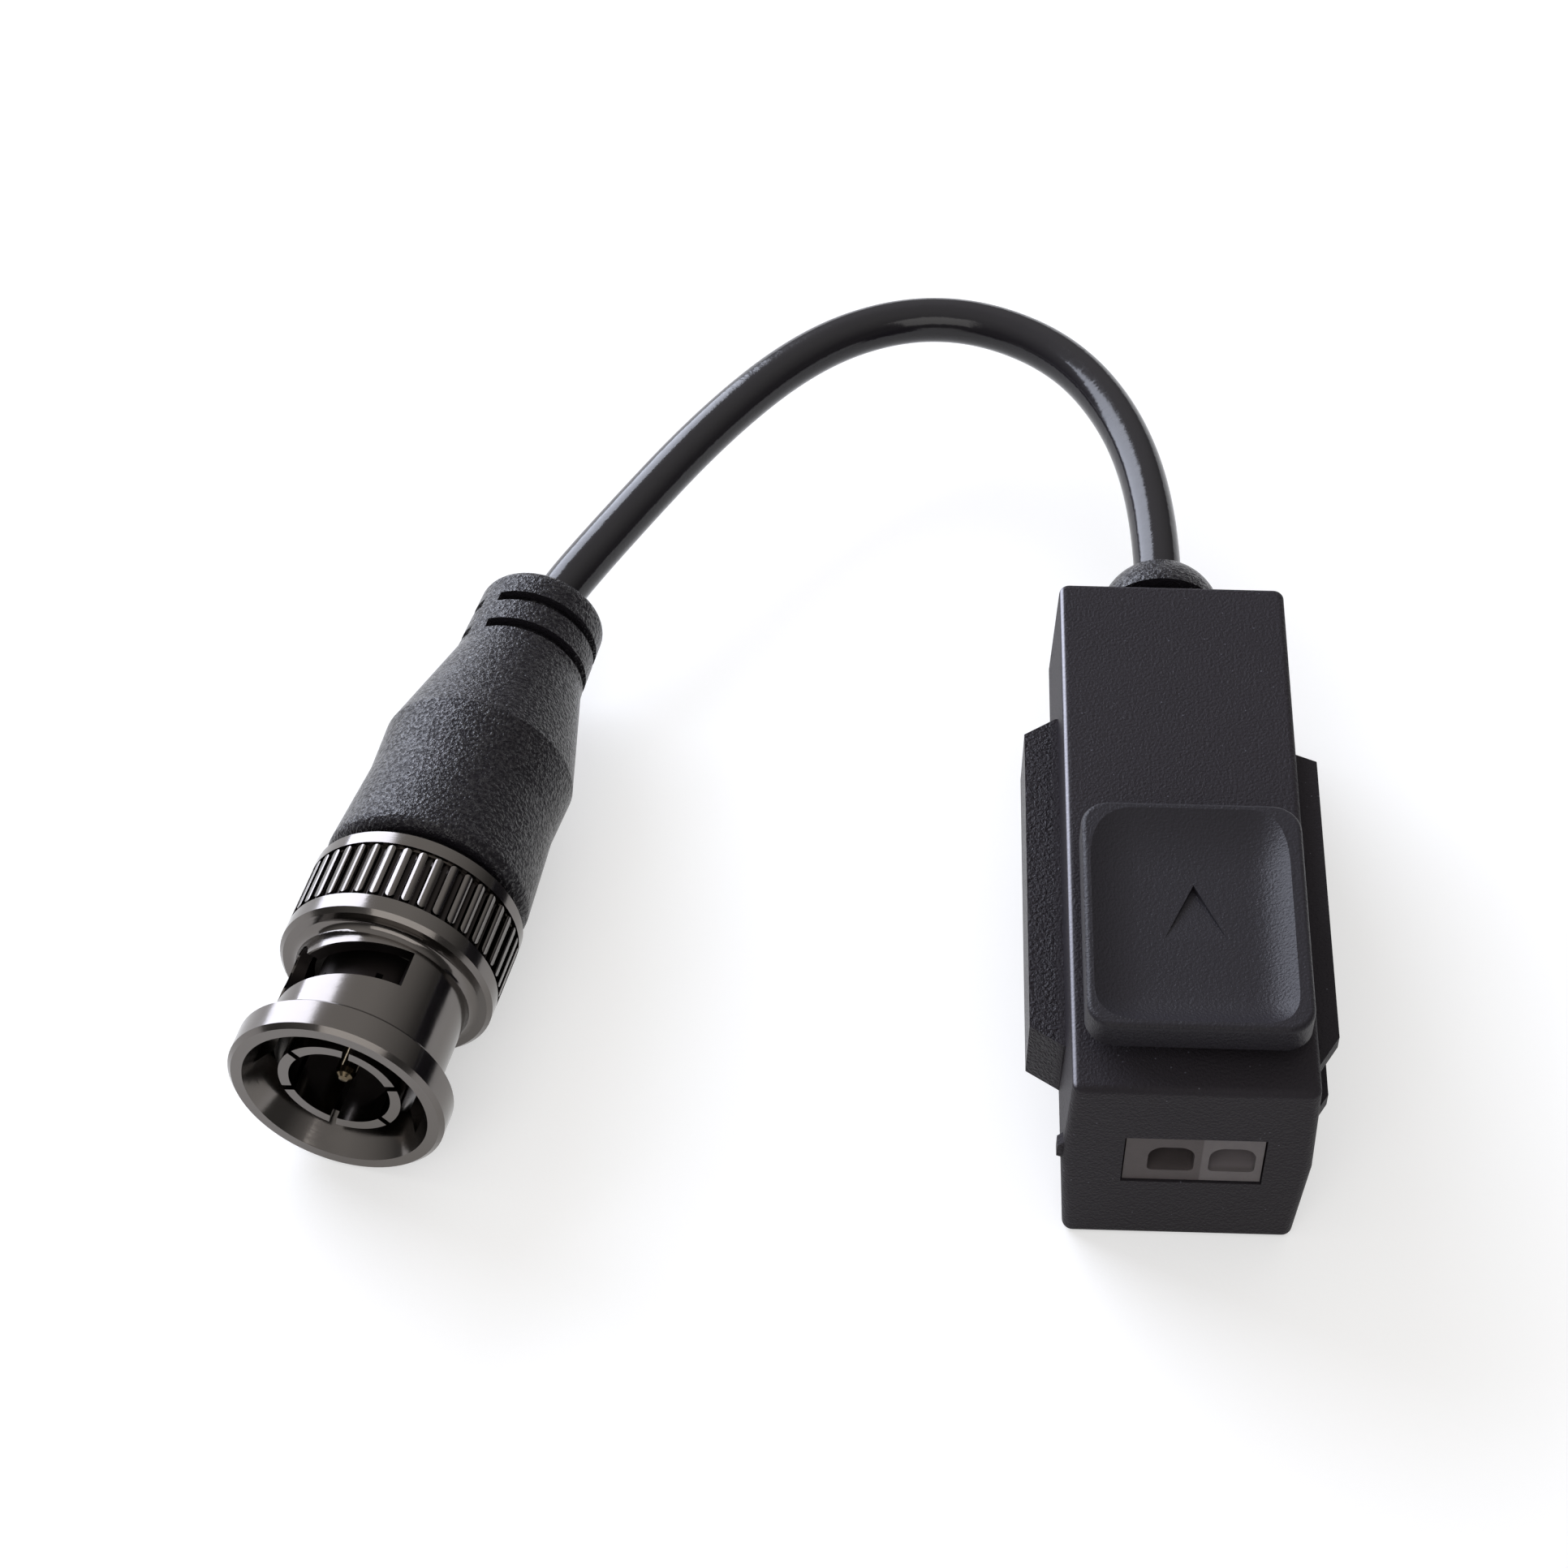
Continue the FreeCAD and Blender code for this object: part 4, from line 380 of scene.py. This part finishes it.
# The knurling wheel leaves each ridge crowned by 0.1 mm, and the grooves between them are painted dark as
# shade
on_knurl = between(tree, axes["X"], KNURL_START, KNURL_END, 0.05 * MM)
turn = add_node(tree, "ShaderNodeMath", {"operation": "ARCTAN2"}, {0: axes["Z"], 1: axes["Y"]})
phase = add_node(tree, "ShaderNodeMath", {"operation": "MULTIPLY_ADD"}, {
    0: turn.outputs["Value"], 1: RIDGES, 2: RIDGE_TURN})
wave = add_node(tree, "ShaderNodeMath", {"operation": "COSINE"}, {0: phase.outputs["Value"]})
crown = add_node(tree, "ShaderNodeBump", {}, {
    "Height": wave.outputs["Value"], "Distance": 0.1 * MM, "Strength": on_knurl, "Normal": marks})
tree.links.new(crown.outputs["Normal"], shader.inputs["Normal"])
in_groove = between(tree, radius, 6.8 * MM, 6.95 * MM, 0.1 * MM)
groove_shade = add_node(tree, "ShaderNodeMath", {"operation": "MULTIPLY"}, {0: in_groove, 1: on_knurl})
metal = add_node(tree, "ShaderNodeMix", {"data_type": "RGBA"}, {
    "Factor": groove_shade.outputs["Value"], "A": plate.outputs["Result"], "B": linear("2a2726")})
tree.links.new(metal.outputs["Result"], shader.inputs["Base Color"])
dress(knurled, "coupling_nut")


# Boot: soft PVC moulded over the plug's tail and the cable, in the same coarse grain as the grommet,
# with a cylindrical grip, a cone and a strain relief with two interrupted grooves.
dress(soft_pvc, "plug_boot")


# Table: a plain pale sheet, and the camera where the photographer stood, about 26 cm away. A large
# window-like lamp stands low behind the object on the left, and a weak one fills in from the near side.
TABLE_HALF = 1.5
sheet = bpy.data.meshes.new("table")
corners = [(-TABLE_HALF, -TABLE_HALF, 0), (TABLE_HALF, -TABLE_HALF, 0),
           (TABLE_HALF, TABLE_HALF, 0), (-TABLE_HALF, TABLE_HALF, 0)]
sheet.from_pydata(corners, [], [(0, 1, 2, 3)])
table = bpy.data.objects.new("table", sheet)
bpy.context.scene.collection.objects.link(table)
paper, tree, shader, place = new_material("white_paper", "c8c8c8", Roughness=0.9, Specular_IOR_Level=0.1)
tree.links.new(grain(tree, place, 0.5 * MM, 0.01 * MM), shader.inputs["Normal"])
ray = tree.nodes.new("ShaderNodeLightPath").outputs
# The sheet glows up to white for the camera and in reflections only, and lights nothing by that
seen = add_node(tree, "ShaderNodeMath", {"operation": "MAXIMUM"}, {
    0: ray["Is Camera Ray"], 1: ray["Is Glossy Ray"]})
seen = add_node(tree, "ShaderNodeMath", {"operation": "MAXIMUM"}, {
    0: seen.outputs["Value"], 1: ray["Is Transmission Ray"]})
glow = add_node(tree, "ShaderNodeMath", {"operation": "MULTIPLY"}, {0: seen.outputs["Value"], 1: 0.5})
shader.inputs["Emission Color"].default_value = linear("ffffff")
tree.links.new(glow.outputs["Value"], shader.inputs["Emission Strength"])
sheet.materials.append(paper)


OBJECT_MIDDLE = (-0.02, 0.01)


def add_lamp(name, azimuth, elevation, distance, width, height, watts, colour):
    """An area lamp facing the object's middle: azimuth from +Y towards +X, elevation over the table."""
    lamp = bpy.data.lights.new(name, "AREA")
    lamp.shape = "RECTANGLE"
    lamp.size = width
    lamp.size_y = height
    lamp.energy = watts
    lamp.color = linear(colour)[:3]
    stand = bpy.data.objects.new(name, lamp)
    a, e = math.radians(azimuth), math.radians(elevation)
    stand.location = (distance * math.sin(a) * math.cos(e) + OBJECT_MIDDLE[0],
                      distance * math.cos(a) * math.cos(e) + OBJECT_MIDDLE[1], distance * math.sin(e))
    stand.rotation_euler = (math.pi / 2 - e, 0, math.pi - a)
    bpy.context.scene.collection.objects.link(stand)


add_lamp("window", -42, 22, 0.9, 0.76, 0.7, 13, "e8eeff")
add_lamp("fill", 190, 40, 0.9, 0.8, 0.6, 2.5, "fffdfb")

# The sky is brightest overhead and a little behind, which greys the tops of the metal, and dims all round
SKY_CROWN = (-0.1, 0.3, 0.95)
world = bpy.data.worlds.new("studio")
world.use_nodes = True
tree = world.node_tree
tree.nodes["Background"].inputs["Color"].default_value = linear("f6f4f2")
direction = tree.nodes.new("ShaderNodeTexCoord").outputs["Generated"]
facing = add_node(tree, "ShaderNodeVectorMath", {"operation": "DOT_PRODUCT"}, {0: direction, 1: SKY_CROWN})
level = add_node(tree, "ShaderNodeMapRange", {}, {
    "Value": facing.outputs["Value"], "From Min": 0.2, "From Max": 0.9, "To Min": 0.15, "To Max": 0.8})
tree.links.new(level.outputs["Result"], tree.nodes["Background"].inputs["Strength"])
bpy.context.scene.world = world

lens = bpy.data.cameras.new("camera")
lens.sensor_width = 36
lens.lens = 88.68
lens.clip_start = 0.01
camera = bpy.data.objects.new("camera", lens)
camera.location = (-23.09 * MM, -160.53 * MM, 205.51 * MM)
camera.rotation_euler = [math.radians(angle) for angle in (40.629, -0.5, 1.544)]
bpy.context.scene.collection.objects.link(camera)
bpy.context.scene.camera = camera
bpy.context.scene.view_settings.view_transform = "Standard"
